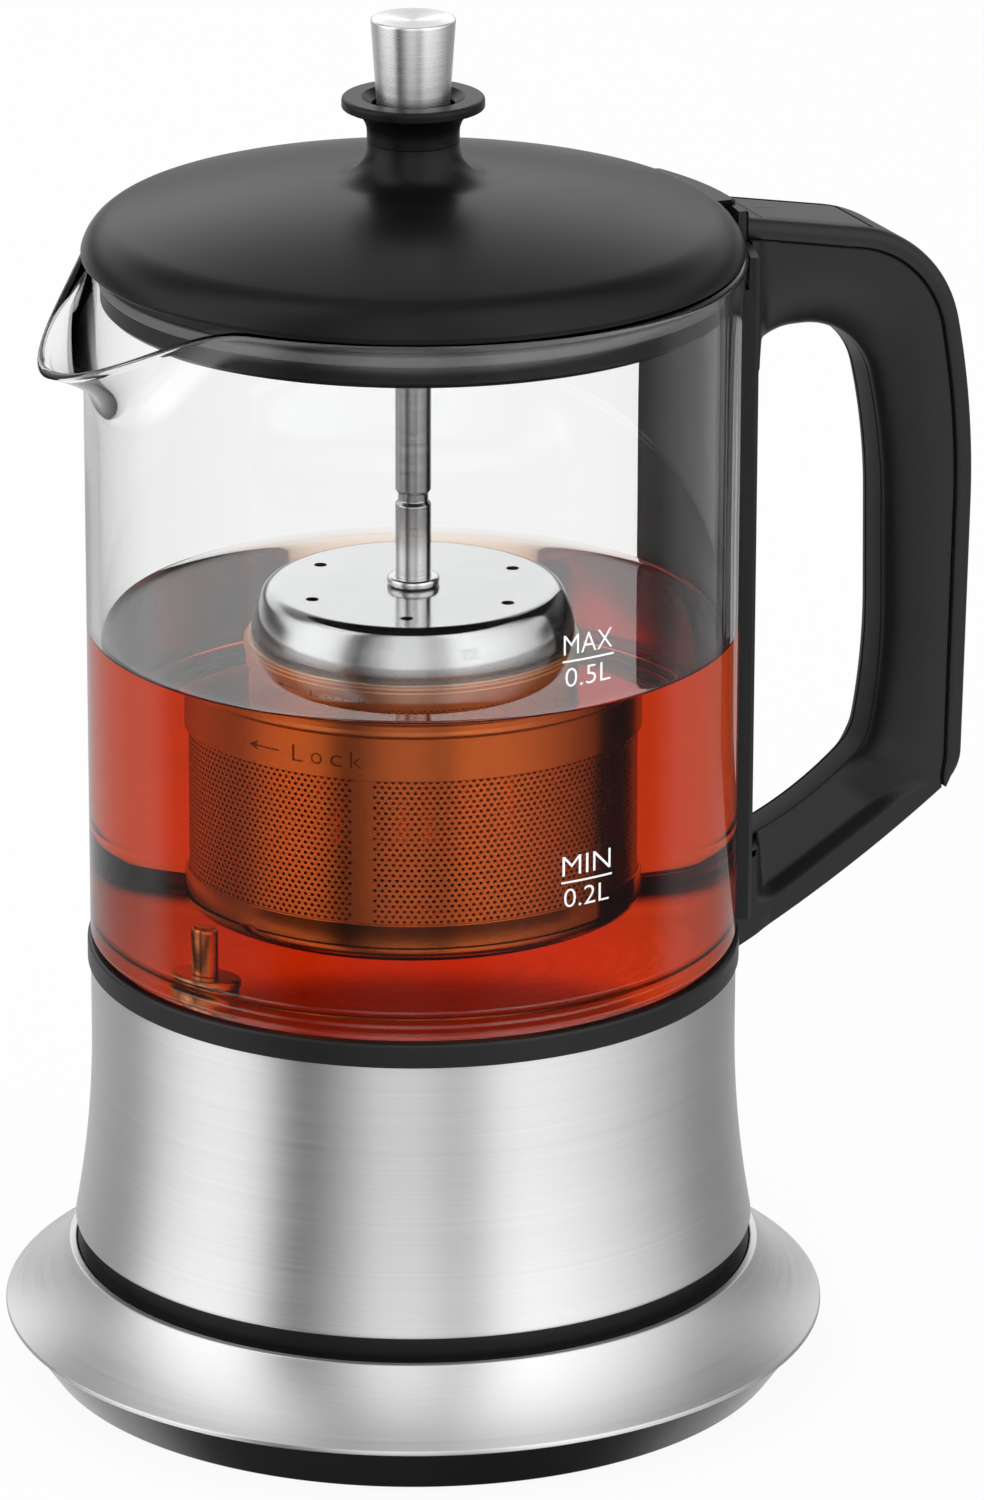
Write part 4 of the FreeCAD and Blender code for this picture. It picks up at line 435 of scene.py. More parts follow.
# ---------------------------------------------------------------- handle
# The handle is three black mouldings: a main one with scooped sides, a shell over the arm's top and
# the grip's back, and a softer strip let into the finger loop. A strip along the glass carries it.
# Each leg is the length of a straight, or the radius and turn of a right-hand bend.
OUTER_LEGS = [(21.6,), (22.0, 68.0), (144.0, 12.7), (42.7,), (7.3, 52.4), (240.0, 11.6)]
INNER_LEGS = [(9.8, 90.0), (1.7,), (12.9, 76.6), (105.0, 12.4), (17.1,), (105.0, 11.7), (7.9, 37.3),
              (60.0, 26.5)]


def walked(start, heading, legs):
    """Points every half millimetre on a path of lines and right-hand bends: distance, x and z."""
    along, across, up, heading = 0.0, *start, math.radians(heading)
    points = [(along, across, up)]
    for leg in legs:
        turn = math.radians(leg[1]) if len(leg) == 2 else 0.0
        length = leg[0] * turn if turn else leg[0]
        count = math.ceil(length / 0.5)
        for _ in range(count):
            heading -= turn / count / 2
            along += length / count
            across += length / count * math.cos(heading)
            up += length / count * math.sin(heading)
            heading -= turn / count / 2
            points.append((along, across, up))
    return points


def spot(path, distance):
    """The place on a path at a distance from its start, and beyond its ends in a straight line."""
    number = min(max(int(distance / path[-1][0] * (len(path) - 1)), 0), len(path) - 2)
    while number < len(path) - 2 and path[number + 1][0] < distance:
        number += 1
    while number > 0 and path[number][0] > distance:
        number -= 1
    (near, x0, z0), (far, x1, z1) = path[number], path[number + 1]
    share = (distance - near) / (far - near)
    return Vector((x0 + (x1 - x0) * share, z0 + (z1 - z0) * share))


def ease(value, low, high):
    """0 below low, 1 above high, and smooth between."""
    share = min(max((value - low) / (high - low), 0.0), 1.0)
    return share * share * (3 - 2 * share)


def graded(value, table):
    """Straight-line value from a table of (place, value)."""
    for (near, first), (far, second) in zip(table, table[1:]):
        if value <= far:
            return first + (second - first) * (value - near) / (far - near)
    return table[-1][1]


ARM_START, ARM_FALL, LOOP_START = (54.5, 188.8), 10.4, (55.3, 158.8)
outer_path = walked(ARM_START, -ARM_FALL, OUTER_LEGS)
inner_path = walked(LOOP_START, 90.0, INNER_LEGS)
# Distances along the outside with the distances along the loop that lie across from them.
ACROSS = [(0.0, 0.0), (2.1, 5.1), (5.8, 10.3), (10.8, 15.4), (12.5, 17.1), (23.2, 21.6), (34.0, 26.1),
          (44.8, 30.6), (53.2, 34.3), (79.4, 57.1), (96.5, 74.2), (120.5, 95.6), (129.0, 100.7),
          (177.6, 128.5)]
SHELL_DEPTH, SHELL_END, HANDLE_END = 3.3, 129.3, 177.0
HEEL_START, HEEL_LENGTH, HEEL_RADIUS, RUN_OUT = 122.3, 6.7, 7.3, 1.2


def shell_floor(along):
    """Depth of the shell's inner face: even down the grip, and running out through the heel's bend."""
    past = max(along - HEEL_START, 0.0)
    turn = min(past, HEEL_LENGTH) / HEEL_RADIUS
    depth = (SHELL_DEPTH - HEEL_RADIUS * (1 - math.cos(turn))) / math.cos(turn)
    return max(depth - RUN_OUT * max(past - HEEL_LENGTH, 0.0), 0.0)


STRIP_CORE, RING_CORE, RING_CLEAR = 54.2, 53.25, 73.2


def off_the_glass(x, y, z):
    """Keep a point of the handle inside the strip or clear of the ring, outside the jug's wall."""
    least = STRIP_CORE if z > RING_CLEAR else RING_CORE
    radius = math.hypot(x, y)
    return (x * least / radius, y * least / radius, z) if radius < least else (x, y, z)


# Half widths of the handle at the finger loop and at its fullest, then the root beside the strip.
NOSE, FULL = 3.2, 8.5
ROOT_WIDTH, ROOT_END, ROOT_BLEND, ROOT_REACH = 8.5, 59.5, 3.0, 1.2
ROOT_FLARE, FLARE_LENGTH, ARM_LENGTH = 2.0, 4.0, 30.0


def handle_row(along, half, least=3.0):
    """A ring round the handle at a distance along its outside; half lists (depth, width) down one side."""
    start, end = spot(outer_path, along), spot(inner_path, graded(along, ACROSS))
    reach = (end - start).length
    inward = (end - start) / reach
    loop = []
    for depth, width in half(along, reach):
        near = start.x + inward.x * depth
        flare = ROOT_FLARE * min(max((ROOT_END - near) / FLARE_LENGTH, 0.0), 1.0) ** 2
        flare *= along < ARM_LENGTH
        far = ROOT_END + ROOT_REACH * ease(along, 150.0, 160.0)
        share = (1 - ease(near, far - ROOT_BLEND, far)) * (width > least)
        loop.append((depth, width + max(ROOT_WIDTH + flare - width, 0.0) * share))
    loop += [(depth, -width) for depth, width in reversed(loop) if width > 0.0]
    return [off_the_glass(*(start + inward * depth).to_3d().xzy + Vector((0, width, 0)))
            for depth, width in loop]


def along_handle(half, first, last, pace=1.0, marks=(), least=3.0):
    """A moulding swept along the handle, with rings at an even pace and at the marks."""
    count = max(2, round((last - first) / pace))
    places = sorted({first + (last - first) * number / count for number in range(count + 1)} | set(marks))
    return skinned([handle_row(along, half, least) for along in places], closed=False)


GRIP_BAND, STRUT_BAND, END_BAND, STRUT_LIP, SCOOP_STEPS = 0.8, 3.4, 4.0, 2.6, 36


def body_half(along, reach):
    """Main moulding: flush with the shell, then rounded off, or scooped out in the strut."""
    top, low = shell_floor(along), reach - 0.1
    strut = ease(along, 124.0, 140.0)
    band = GRIP_BAND + STRUT_BAND * ease(along, 118.0, 136.0) + END_BAND * ease(along, 162.0, 176.0) ** 2
    half = [(top, 0.0), (top, 4.0), (top, 7.9), (top + 0.12, 8.3), (top + 0.4, FULL),
            (top + band - 0.3, FULL)]
    start = top + band
    for number in range(SCOOP_STEPS + 1):
        share = number / SCOOP_STEPS
        bend = share * math.pi / 2
        lip = 1 - STRUT_LIP / (FULL - NOSE) * strut * ease(share, 0.0, 0.2)
        across = math.sin(bend) + (share - math.sin(bend)) * strut
        width = math.cos(bend) + ((1 - share) ** 0.9 * lip - math.cos(bend)) * strut
        half.append((start + (low - start) * across, NOSE + (FULL - 0.02 - NOSE) * width))
    return half + [(reach - 0.05, NOSE - 0.1), (reach - 0.15, NOSE - 0.15), (reach - 1.2, NOSE - 0.15),
                   (reach - 1.2, 0.0)]


handle_black = moulded("handle_black_plastic", (0.009, 0.0095, 0.010), (0.013, 0.0135, 0.014), 0.42,
                       grain=2200.0, depth=0.000012, specular_ior_level=0.3)
placed("grip_moulding", along_handle(body_half, 0.0, HANDLE_END, 0.75), handle_black, "jug",
       ["handle_body"])

LINER_START, LINER_GAP, LINER_DEPTH = 20.0, 0.4, 1.9


def liner_half(along, reach):
    """Inner strip: slightly crowned, its edges sunk into the moulding beside it."""
    width = NOSE - LINER_GAP
    skin = reach - 1.0 * (1 - ease(along, LINER_START, LINER_START + 2.5))
    return [(reach - LINER_DEPTH, 0.0), (reach - LINER_DEPTH, width), (skin - 0.3, width),
            (skin - 0.1, width - 0.2), (skin - 0.02, width * 0.6), (skin, 0.0)]


soft_black = moulded("soft_black_plastic", (0.011, 0.011, 0.011), (0.017, 0.017, 0.017), 0.52,
                     grain=2600.0, depth=0.000015, specular_ior_level=0.3)
placed("grip_liner", along_handle(liner_half, LINER_START, HANDLE_END), soft_black, "jug",
       ["handle_liner"])

PAD_START, PAD_END, PAD_GAP, PAD_THICKNESS, WELL_DEPTH = 3.6, 23.7, 0.35, 1.5, 2.7
SHELL_WIDTH, SHELL_BEND, WELL_WIDTH, PAD_WIDTH = 9.0, 1.7, 7.15, 6.8


def shell_half(along, reach):
    """Shell: rounded shoulders, and a well for the thumb pad in the arm's top."""
    well = WELL_DEPTH if PAD_START - PAD_GAP < along < PAD_END + PAD_GAP else 0.0
    floor = max(shell_floor(along) - 0.08, 0.12)
    bend = min(SHELL_BEND, max(floor - 0.35, 0.05))
    corner = [(bend - bend * math.sin(lean), SHELL_WIDTH - bend + bend * math.cos(lean))
              for lean in (math.radians(turn) for turn in range(0, 91, 15))]
    lip = min(0.25, floor / 3)
    half = [(floor, 0.0), (floor, 8.6), (floor - lip / 3, 8.9), (floor - lip, SHELL_WIDTH), *corner]
    return half + [(0.0, WELL_WIDTH + 0.02), (well, WELL_WIDTH - 0.02), (well, 4.0), (well, 0.0)]


well_marks = [edge + shift for edge in (PAD_START - PAD_GAP, PAD_END + PAD_GAP) for shift in (-0.03, 0.03)]
placed("grip_shell", along_handle(shell_half, 0.0, SHELL_END, marks=well_marks, least=20.0), handle_black,
       "jug", ["handle_shell"])

STRIP_INNER, STRIP_OUTER, STRIP_LOW, STRIP_TOP, STRIP_TURN = 52.8, 55.3, 73.3, 185.3, 20.0
STEP_HEIGHT, STEP_INNER, STOP_LOW, STOP_TOP = 180.0, 53.6, 184.6, 190.2


def strip_row(height, inner, outer, edge, from_turn, to_turn):
    """A ring round a slice of tube at one height, its long edges rounded."""
    fan = [from_turn + (to_turn - from_turn) * number / 24 for number in range(25)]
    corner = math.degrees(edge / outer)
    row = [(inner, turn) for turn in fan] + [(outer - edge, to_turn), (outer, to_turn - corner)]
    row += [(outer, turn) for turn in fan[-2:0:-1]]
    row += [(outer, from_turn + corner), (outer - edge, from_turn)]
    return [around(radius, math.radians(turn), height) for radius, turn in row]


def tube_slice(levels, from_turn, to_turn):
    """A slice of tube through levels of (height, inner radius, outer radius, rounding)."""
    return skinned([strip_row(*level, from_turn, to_turn) for level in levels], closed=False)


def joined(shape, mesh):
    """Add a mesh to the shape; the mesh is used up."""
    shape.from_mesh(mesh)
    bpy.data.meshes.remove(mesh)
    return shape


steps = ((STRIP_LOW + 0.3, STRIP_INNER), (120.0, STRIP_INNER), (STEP_HEIGHT - 0.1, STRIP_INNER),
         (STEP_HEIGHT, STEP_INNER), (STRIP_TOP - 0.3, STEP_INNER))
levels = [(STRIP_LOW, STRIP_INNER + 0.2, STRIP_OUTER - 0.3, 0.5),
          *((height, inner, STRIP_OUTER, 0.6) for height, inner in steps),
          (STRIP_TOP, STEP_INNER + 0.1, STRIP_OUTER - 0.3, 0.6)]
strip = tube_slice(levels, -STRIP_TURN, STRIP_TURN)
stop_tab = tube_slice([(height, STEP_INNER, STRIP_OUTER - shrink, 0.5) for height, shrink in
                       ((STOP_LOW, 0.0), (STOP_TOP - 0.3, 0.0), (STOP_TOP, 0.3))], -9.5, -5.5)
placed("glass_strip", joined(strip, meshed(stop_tab)), handle_black, "jug", ["handle_strip"])

# ---------------------------------------------------------------- thumb pad
# The thumb pad is a rocker of softer black plastic with a fine cross-ribbed face. It lies in the
# shell's well on a steel pin.
ribbed = Finish("ribbed_black_plastic")
ribs = (ribbed.x * 9000.0 + ribbed.speckle(900.0, 1.0) * 2.0).then("SINE") * 0.5 + 0.5
pits = ribbed.speckle(4200.0, 2.0)
ribbed_black = ribbed.coat(
    base_color=ribbed.between(pits, (0.022, 0.022, 0.022), (0.060, 0.060, 0.060)),
    roughness=0.50 + (pits - 0.5) * 0.2, normal=ribbed.bump(ribs * 0.5 + pits * 0.5, 0.00005))


def pad_half(along, reach):
    """Thumb pad: flat on top, its long edges and ends rounded down."""
    soft = 0.35 * (1 - ease(along, PAD_START, PAD_START + 0.4) * ease(-along, -PAD_END, -PAD_END + 0.4))
    return [(PAD_THICKNESS, 0.0), (PAD_THICKNESS, PAD_WIDTH - 0.3), (PAD_THICKNESS - 0.3, PAD_WIDTH - 0.02),
            (0.35 + soft, PAD_WIDTH), (0.12 + soft, PAD_WIDTH - 0.1), (0.02 + soft, PAD_WIDTH - 0.4),
            (soft, 5.0), (soft, 0.0)]


pad_marks = (PAD_START + 0.15, PAD_START + 0.3, PAD_END - 0.3, PAD_END - 0.15)
placed("thumb_pad", along_handle(pad_half, PAD_START, PAD_END, 0.8, pad_marks), ribbed_black, "switch",
       ["switch_pad"])

# ---------------------------------------------------------------- lid
# The lid is a satin black moulding: a shallow dome drawn up into a neck, a funnel-shaped collar on
# the neck, and a deep channel below that sits in the glass with a silicone lip.
lid_black = moulded("lid_black_plastic", (0.003, 0.003, 0.0032), (0.005, 0.005, 0.0053), 0.32,
                    grain=2600.0, depth=0.000005, specular_ior_level=0.19)
LID_LOW, LID_SHEET, PLUG_TOP, ROD_BORE = 187.2, 2.2, 193.0, 3.17
LID_EDGE, LID_SHOULDER, LID_CROWN = (52.7, 188.1), (47.5, 193.4), (13, 199.3)
INNER_EDGE, INNER_SHOULDER, INNER_CROWN = (50.0, 188.6), (46.5, 191.2), (13, 197.1)
EDGE_BEND, DOME_BEND, NECK_BEND, NECK_RADIUS, NECK_TOP, NECK_BORE = 7.4, 178, 6.1, 7.35, 205.5, 4.65
dome = [(INNER_EDGE[0], LID_LOW), (LID_EDGE[0], LID_LOW, 0.4), (*LID_EDGE, 0.4),
        *bow(LID_EDGE, LID_SHOULDER, EDGE_BEND, 12), (*LID_SHOULDER, 0),
        *bow(LID_SHOULDER, LID_CROWN, DOME_BEND, 24), (*LID_CROWN, 0),
        *bow(LID_CROWN, (NECK_RADIUS, NECK_TOP - 0.2), -NECK_BEND, 14), (NECK_RADIUS, NECK_TOP, 0.12),
        (NECK_BORE, NECK_TOP), (NECK_BORE, PLUG_TOP), (8.15, PLUG_TOP), (8.15, 197.1), (*INNER_CROWN, 0),
        *bow(INNER_CROWN, INNER_SHOULDER, LID_SHEET - DOME_BEND, 12), (*INNER_SHOULDER, 0),
        *bow(INNER_SHOULDER, INNER_EDGE, LID_SHEET - EDGE_BEND, 6), (*INNER_EDGE, 0)]
ear = tube_slice([(height, 50.9, 55.0 - shrink, 0.6) for height, shrink in
                  ((187.4, 0.25), (187.65, 0.0), (190.4, 0.0), (190.8, 0.4))], -4.0, 20.0)
placed("lid_dome", joined(spun(dome), meshed(ear)), lid_black, "lid", ["lid_shell"])
FUNNEL_RADIUS, FUNNEL_TOP = 11.35, 212.7
funnel = [(6.2, NECK_TOP), (NECK_RADIUS, NECK_TOP, 0.15), (NECK_RADIUS, 207.0, 0),
          *bow((NECK_RADIUS, 207.0), (FUNNEL_RADIUS, 211.0), -4, 10), (FUNNEL_RADIUS, 211.0, 0.25),
          (FUNNEL_RADIUS, FUNNEL_TOP, 0.7), (8.2, FUNNEL_TOP, 0.3), (6.5, 211.5, 0.4), (6.5, 208.2),
          (ROD_BORE, 208.2), (ROD_BORE, 206.9), (6.2, 206.9)]
placed("lid_funnel", spun(funnel), lid_black, "lid", ["lid_collar"])
LIP_INNER, LIP_LOW, LIP_TOP = 48.6, 183, 185
channel = [(27.4, 179.5, 0.5), (48.9, 179.5, 0.4), (49.7, 180.3, 0.4), (49.7, LIP_LOW),
           (LIP_INNER, LIP_LOW), (LIP_INNER, LIP_TOP), (49.7, LIP_TOP), (49.7, 188.2), (47.5, 188.2),
           (47.5, 181.1), (29, 181.1), (29, PLUG_TOP), (ROD_BORE, PLUG_TOP), (ROD_BORE, 191.4),
           (27.4, 191.4)]
placed("lid_channel", spun(channel), satin_black, "lid", ["lid_plug"])
silicone = moulded("grey_silicone", (0.10, 0.10, 0.10), (0.14, 0.14, 0.14), 0.45)
lip = [(LIP_INNER, LIP_LOW), (50.05, LIP_LOW, 0.6), (50.05, LIP_TOP, 0.6), (LIP_INNER, LIP_TOP)]
placed("lid_lip", spun(lip), silicone, "lid", ["lid_seal"])

# ---------------------------------------------------------------- knob and rod
# The knob is turned from stainless bar, and its top is dished. The polished rod below it has two
# notches for a spring ring and ends in a washer on the strainer's cap.
turned_steel = brushed("turned_steel", steel(0.70), steel(0.88), 0.28, fine=4200.0, grain=0.000004,
                       spread=0.9)
knob = [(0, 208.5), (5.6, 208.5, 0.3), (6.75, 225.3, 0.4), (4.75, 225.3, 0.6), (0, 224.9)]
placed("steel_knob", spun(knob, steps=128), turned_steel, "infuser", ["knob"])
CAP_TOP, ROD_RADIUS, NOTCH_RADIUS = 132.2, 2.87, 2.42
rod = [(0, 127.6), (2.2, 127.6), (2.2, CAP_TOP, 0), (ROD_RADIUS, CAP_TOP, 0)]
for notch in (147.0, 204.3):
    rod += [(ROD_RADIUS, notch - 1.2, 0.2), (NOTCH_RADIUS, notch - 0.6, 0.15),
            (NOTCH_RADIUS, notch + 0.6, 0.15), (ROD_RADIUS, notch + 1.2, 0.2)]
rod += [(ROD_RADIUS, 220.5), (0, 220.5)]
placed("lift_rod", spun(rod, steps=96), plain_steel, "infuser", ["infuser_rod"])
washer = [(2.8, CAP_TOP), (4.24, CAP_TOP, 0.6), (4.24, CAP_TOP + 1.5, 0.6), (2.8, CAP_TOP + 1.5)]
placed("rod_washer", spun(washer, steps=96), plain_steel, "infuser", ["rod_flange"])

# ---------------------------------------------------------------- strainer cap
# The cap is pressed from stainless sheet and polished, flat on top with a tight bend into its bowed
# side, and six vents are punched in the flat.
polish = Finish("polished_steel")
smudge, scratch = polish.speckle(60.0, 3.0), polish.speckle(1400.0, 3.0)
polished_steel = polish.coat(base_color=polish.between(smudge, steel(0.50), steel(0.57)),
                             metallic=1.0, roughness=0.10 + smudge * 0.05,
                             normal=polish.bump(scratch, 0.0000012))
CAP_SHEET = 0.8
# Centre radius, centre height and radius of the cap's two bends, then the last turn of each.
CAP_BENDS = ((22.15, 129.6, 2.6, 62.5), (11.59, 124.1, 14.51, 90))


class Pattern(Board):
    """A Geometry Nodes tree with named inputs, run once on a mesh to make the finished one."""

    family = "GeometryNode"

    def __init__(self, name, inputs):
        super().__init__(bpy.data.node_groups.new(name, "GeometryNodeTree"))
        self.values = {}
        self.tree.interface.new_socket("Geometry", in_out="INPUT", socket_type="NodeSocketGeometry")
        for word, value in inputs.items():
            kind = "NodeSocketInt" if isinstance(value, int) else "NodeSocketFloat"
            socket = self.tree.interface.new_socket(word, in_out="INPUT", socket_type=kind)
            self.values[socket.identifier] = value
        self.tree.interface.new_socket("Geometry", in_out="OUTPUT", socket_type="NodeSocketGeometry")
        self.source = self.node("NodeGroupInput", give="Geometry")
        self.sizes = [self.source.out(word) for word in inputs]

    def vector(self, x=0.0, y=0.0, z=0.0):
        return self.node("ShaderNodeCombineXYZ", {0: x, 1: y, 2: z})

    def together(self, *parts):
        """Several geometries as one."""
        join = self.node("JoinGeometry")
        for part in parts:
            self.tree.links.new(part.socket, join.socket.node.inputs[0])
        return join

    def result(self, geometry, finish, mesh):
        """Close the tree, run it on a mesh, and give the mesh that it makes."""
        whole = self.node("RealizeInstances", {0: geometry})
        whole = self.node("SetMaterial", {"Geometry": whole, "Material": finish})
        self.node("NodeGroupOutput", {0: whole})
        blank = added("blank", mesh)
        modifier = blank.modifiers.new("pattern", "NODES")
        modifier.node_group = self.tree
        for identifier, value in self.values.items():
            modifier[identifier] = value
        return worked_out(blank)


def cap_skin(inset):
    """The cap's outline from its flat to its rim, at an inset below the outer face."""
    points, turn = [], 0
    for across, up, radius, last in CAP_BENDS:
        while turn <= last:
            lean = math.radians(turn)
            points.append((across + (radius - inset) * math.sin(lean),
                           up + (radius - inset) * math.cos(lean), 0))
            turn += 2.5
    return points


cap = [(2.3, CAP_TOP), *cap_skin(0.0), (26.1, 122.6, 0.2), (25.3, 122.6, 0.2),
       *reversed(cap_skin(CAP_SHEET)), (2.3, CAP_TOP - CAP_SHEET)]
punch = Pattern("punched_vents", {"Vents": 6, "Circle radius": 18.0 * MM, "Vent radius": 1.05 * MM,
                                  "Punch length": 8.0 * MM, "Turn": math.radians(3.2),
                                  "Level": CAP_TOP * MM})
vents, circle_radius, vent_radius, punch_length, turned, level = punch.sizes
circle = punch.node("MeshCircle", {"Vertices": vents, "Radius": circle_radius})
pin = punch.node("MeshCylinder", {"Vertices": 24, "Radius": vent_radius, "Depth": punch_length})
pins = punch.node("InstanceOnPoints", {"Points": circle, "Instance": pin})
pins = punch.node("Transform", {
    "Geometry": punch.node("RealizeInstances", {0: pins}),
    "Translation": punch.vector(z=level), "Rotation": punch.vector(z=turned)})
holed = punch.node("MeshBoolean", {"Mesh 1": punch.source, "Mesh 2": pins},
                   operation="DIFFERENCE", solver="EXACT")
cap_mesh = punch.result(holed, polished_steel, meshed(spun(cap, 0.1)))


def cap_normal(place):
    """The cap's own outward direction at a place on its outside or inside."""
    radius, height = math.hypot(place.x, place.y) / MM, place.z / MM
    for across, up, _, last in CAP_BENDS:
        lean = math.atan2(max(radius - across, 0.0), max(height - up, 1e-6))
        if lean <= math.radians(last) + 1e-4:
            break
    return Vector((place.x / radius / MM * math.sin(lean), place.y / radius / MM * math.sin(lean),
                   math.cos(lean)))


placed("cap_dome", cap_mesh, polished_steel, "infuser", ["strainer_cap"])
normals = []
for face in cap_mesh.polygons:
    for corner in face.vertices:
        true = cap_normal(cap_mesh.vertices[corner].co)
        lean = face.normal.dot(true)
        normals.append(true if lean > 0.93 else -true if lean < -0.93 else face.normal.copy())
cap_mesh.normals_split_custom_set(normals)

# ---------------------------------------------------------------- strainer basket
# The basket is stainless sheet: a rolled sleeve with four perforated panels, a drawn cup welded
# round its foot, and a spun collar with two beads and a neck that locks into the cap.
strainer_steel = brushed("strainer_steel", steel(0.66), steel(0.82), 0.36, fine=6000.0, grain=0.000003,
                         spread=0.9)
SLEEVE_RADIUS, SLEEVE_SHEET = 26.1, 0.4
sheet = Pattern("perforated_sheet", {
    "Columns": 164, "Rows": 32, "Plain columns": 3, "Plain rows": 2, "Panels": 4,
    "Inner radius": SLEEVE_RADIUS * MM, "Outer radius": (SLEEVE_RADIUS + SLEEVE_SHEET) * MM,
    "Hole radius": 0.29 * MM, "Middle height": 98.1 * MM, "First strip": math.radians(228.5)})
columns, rows, plain_columns, plain_rows, panels, inner, outer, hole, middle, first = sheet.sizes
pitch = inner * (2 * math.pi) / columns
corner = pitch / math.sqrt(3)
number = sheet.node("InputIndex")
row = (number / columns + 0.0001).then("FLOOR")
column = number - row * columns
odd = row.then("MODULO", 2.0)
points = sheet.node("Points", {
    "Count": columns * rows,
    "Position": sheet.vector(x=(column + odd * 0.5) * pitch,
                             y=(row - (rows - 1.0) * 0.5) * (corner * 1.5))})
panel = (columns / panels).then("ROUND")
in_panel = (column.then("MODULO", panel) + 0.5) > plain_columns
in_rows = ((row + 0.5) > plain_rows) * ((row + 0.5) < (rows - plain_rows))
open_cell = in_panel * in_rows


def hexagon(radius, fill):
    """A cell's outline, standing on a corner."""
    flat = sheet.node("MeshCircle", {"Vertices": 6, "Radius": radius}, fill_type=fill)
    return sheet.node("Transform", {"Geometry": flat, "Rotation": (0.0, 0.0, math.radians(30.0))})


place = sheet.node("InputPosition")
edge = sheet.node("ExtrudeMesh", {"Mesh": hexagon(hole, "NONE"), "Offset Scale": 0.0}, mode="EDGES")
web = sheet.node("SetPosition", {
    "Geometry": edge, "Selection": edge.out("Top"),
    "Position": sheet.node("ShaderNodeVectorMath", {"Vector": place, "Scale": corner / hole},
                           operation="SCALE")})
cells = [sheet.node("InstanceOnPoints", {"Points": points, "Selection": choice, "Instance": cell})
         for choice, cell in ((open_cell, web), (1.0 - open_cell, hexagon(corner, "NGON")))]
flat_sheet = sheet.node("RealizeInstances", {0: sheet.together(*cells)})
split = sheet.node("ShaderNodeSeparateXYZ", {0: place})
way = split / inner + first
rolled = sheet.node("SetPosition", {
    "Geometry": flat_sheet,
    "Position": sheet.vector(way.then("COSINE") * inner, way.then("SINE") * inner,
                             split.out("Y") + middle)})
rolled = sheet.node("MergeByDistance", {"Geometry": rolled, "Distance": 0.00002})
thick = sheet.node("ExtrudeMesh", {"Mesh": rolled, "Offset Scale": 0.0, "Individual": False},
                   mode="FACES")
stretch_out = outer / inner
outside = sheet.node("SetPosition", {
    "Geometry": thick, "Selection": thick.out("Top"),
    "Position": sheet.vector(split * stretch_out, split.out("Y") * stretch_out, split.out("Z"))})
both_skins = sheet.together(outside, sheet.node("FlipFaces", {0: rolled}))
closed = sheet.node("MergeByDistance", {"Geometry": both_skins, "Distance": 0.00002})
sleeve = joined(bmesh.new(), sheet.result(closed, strainer_steel, bpy.data.meshes.new("sleeve_blank")))
bmesh.ops.recalc_face_normals(sleeve, faces=sleeve.faces[:])
placed("strainer_sleeve", sleeve, strainer_steel, "basket", ["basket_sleeve"])

RIM_RADIUS, RIM_INNER = 27.0, 26.5
collar = [(RIM_INNER, 110), (RIM_RADIUS, 110, 0.15)]
for bead in (117.7, 119.8):
    collar += [(RIM_RADIUS, bead - 0.6, 0.15), (RIM_RADIUS + 0.35, bead, 0.35),
               (RIM_RADIUS, bead + 0.6, 0.15)]
collar += [(RIM_RADIUS, 121.7, 0.8), (25.1, 121.7, 0.3), (25.1, 125.4, 0.2), (24.6, 125.4, 0.2),
           (24.6, 121.2), (RIM_INNER, 121.2, 0.5)]
placed("strainer_rim", spun(collar), strainer_steel, "basket", ["basket_collar"])
cup = [(0, 79.5), (RIM_RADIUS, 79.5, 4.0), (RIM_RADIUS, 86, 0.2), (RIM_INNER, 86, 0.2),
       (RIM_INNER, 80, 3.5), (0, 80)]
placed("strainer_cup", spun(cup), polished_steel, "basket", ["basket_cup"])

# ---------------------------------------------------------------- marks
# The fill marks are printed on the glass in white enamel. The lock arrow is etched on the basket's
# rim, and the two lines that show how lid and handle meet are stamped.


def lettering(word):
    """Flat outline letters of a word as a mesh."""
    curve = bpy.data.curves.new(word, "FONT")
    curve.body = word
    curve.resolution_u, curve.offset = 3, -0.01
    mesh = worked_out(added(word, curve))
    bpy.data.curves.remove(curve)
    return mesh


def fitted(shape, mesh, left, low, width, height):
    """Add a mesh to the shape, stretched to a box in the plane; millimetres along and up."""
    before = len(shape.verts)
    joined(shape, mesh)
    shape.verts.ensure_lookup_table()
    fresh = shape.verts[before:]
    xs, ys = [vert.co.x for vert in fresh], [vert.co.y for vert in fresh]
    for vert in fresh:
        vert.co = ((vert.co.x - min(xs)) / (max(xs) - min(xs)) * width + left,
                   (vert.co.y - min(ys)) / (max(ys) - min(ys)) * height + low, 0.0)


def bar(shape, left, low, width, height, parts=12):
    """Add a thin straight bar, cut into short lengths so that it can be wrapped."""
    ends = [(shape.verts.new((left + width * step / parts, low, 0)),
             shape.verts.new((left + width * step / parts, low + height, 0))) for step in range(parts + 1)]
    for (a, b), (c, d) in zip(ends, ends[1:]):
        shape.faces.new((a, c, d, b))


def wrapped(shape, radius, turn, thickness=0.03):
    """Wrap a flat shape on an upright tube, its middle at turn degrees, and give it a thickness."""
    for vert in shape.verts:
        vert.co = Vector(around(radius, math.radians(turn) + vert.co.x / radius, vert.co.y)) * MM
    skin = bmesh.ops.extrude_face_region(shape, geom=shape.faces[:])
    for item in skin["geom"]:
        if isinstance(item, bmesh.types.BMVert):
            outward = Vector((item.co.x, item.co.y, 0)).normalized()
            item.co += outward * thickness * MM
    bmesh.ops.recalc_face_normals(shape, faces=shape.faces[:])


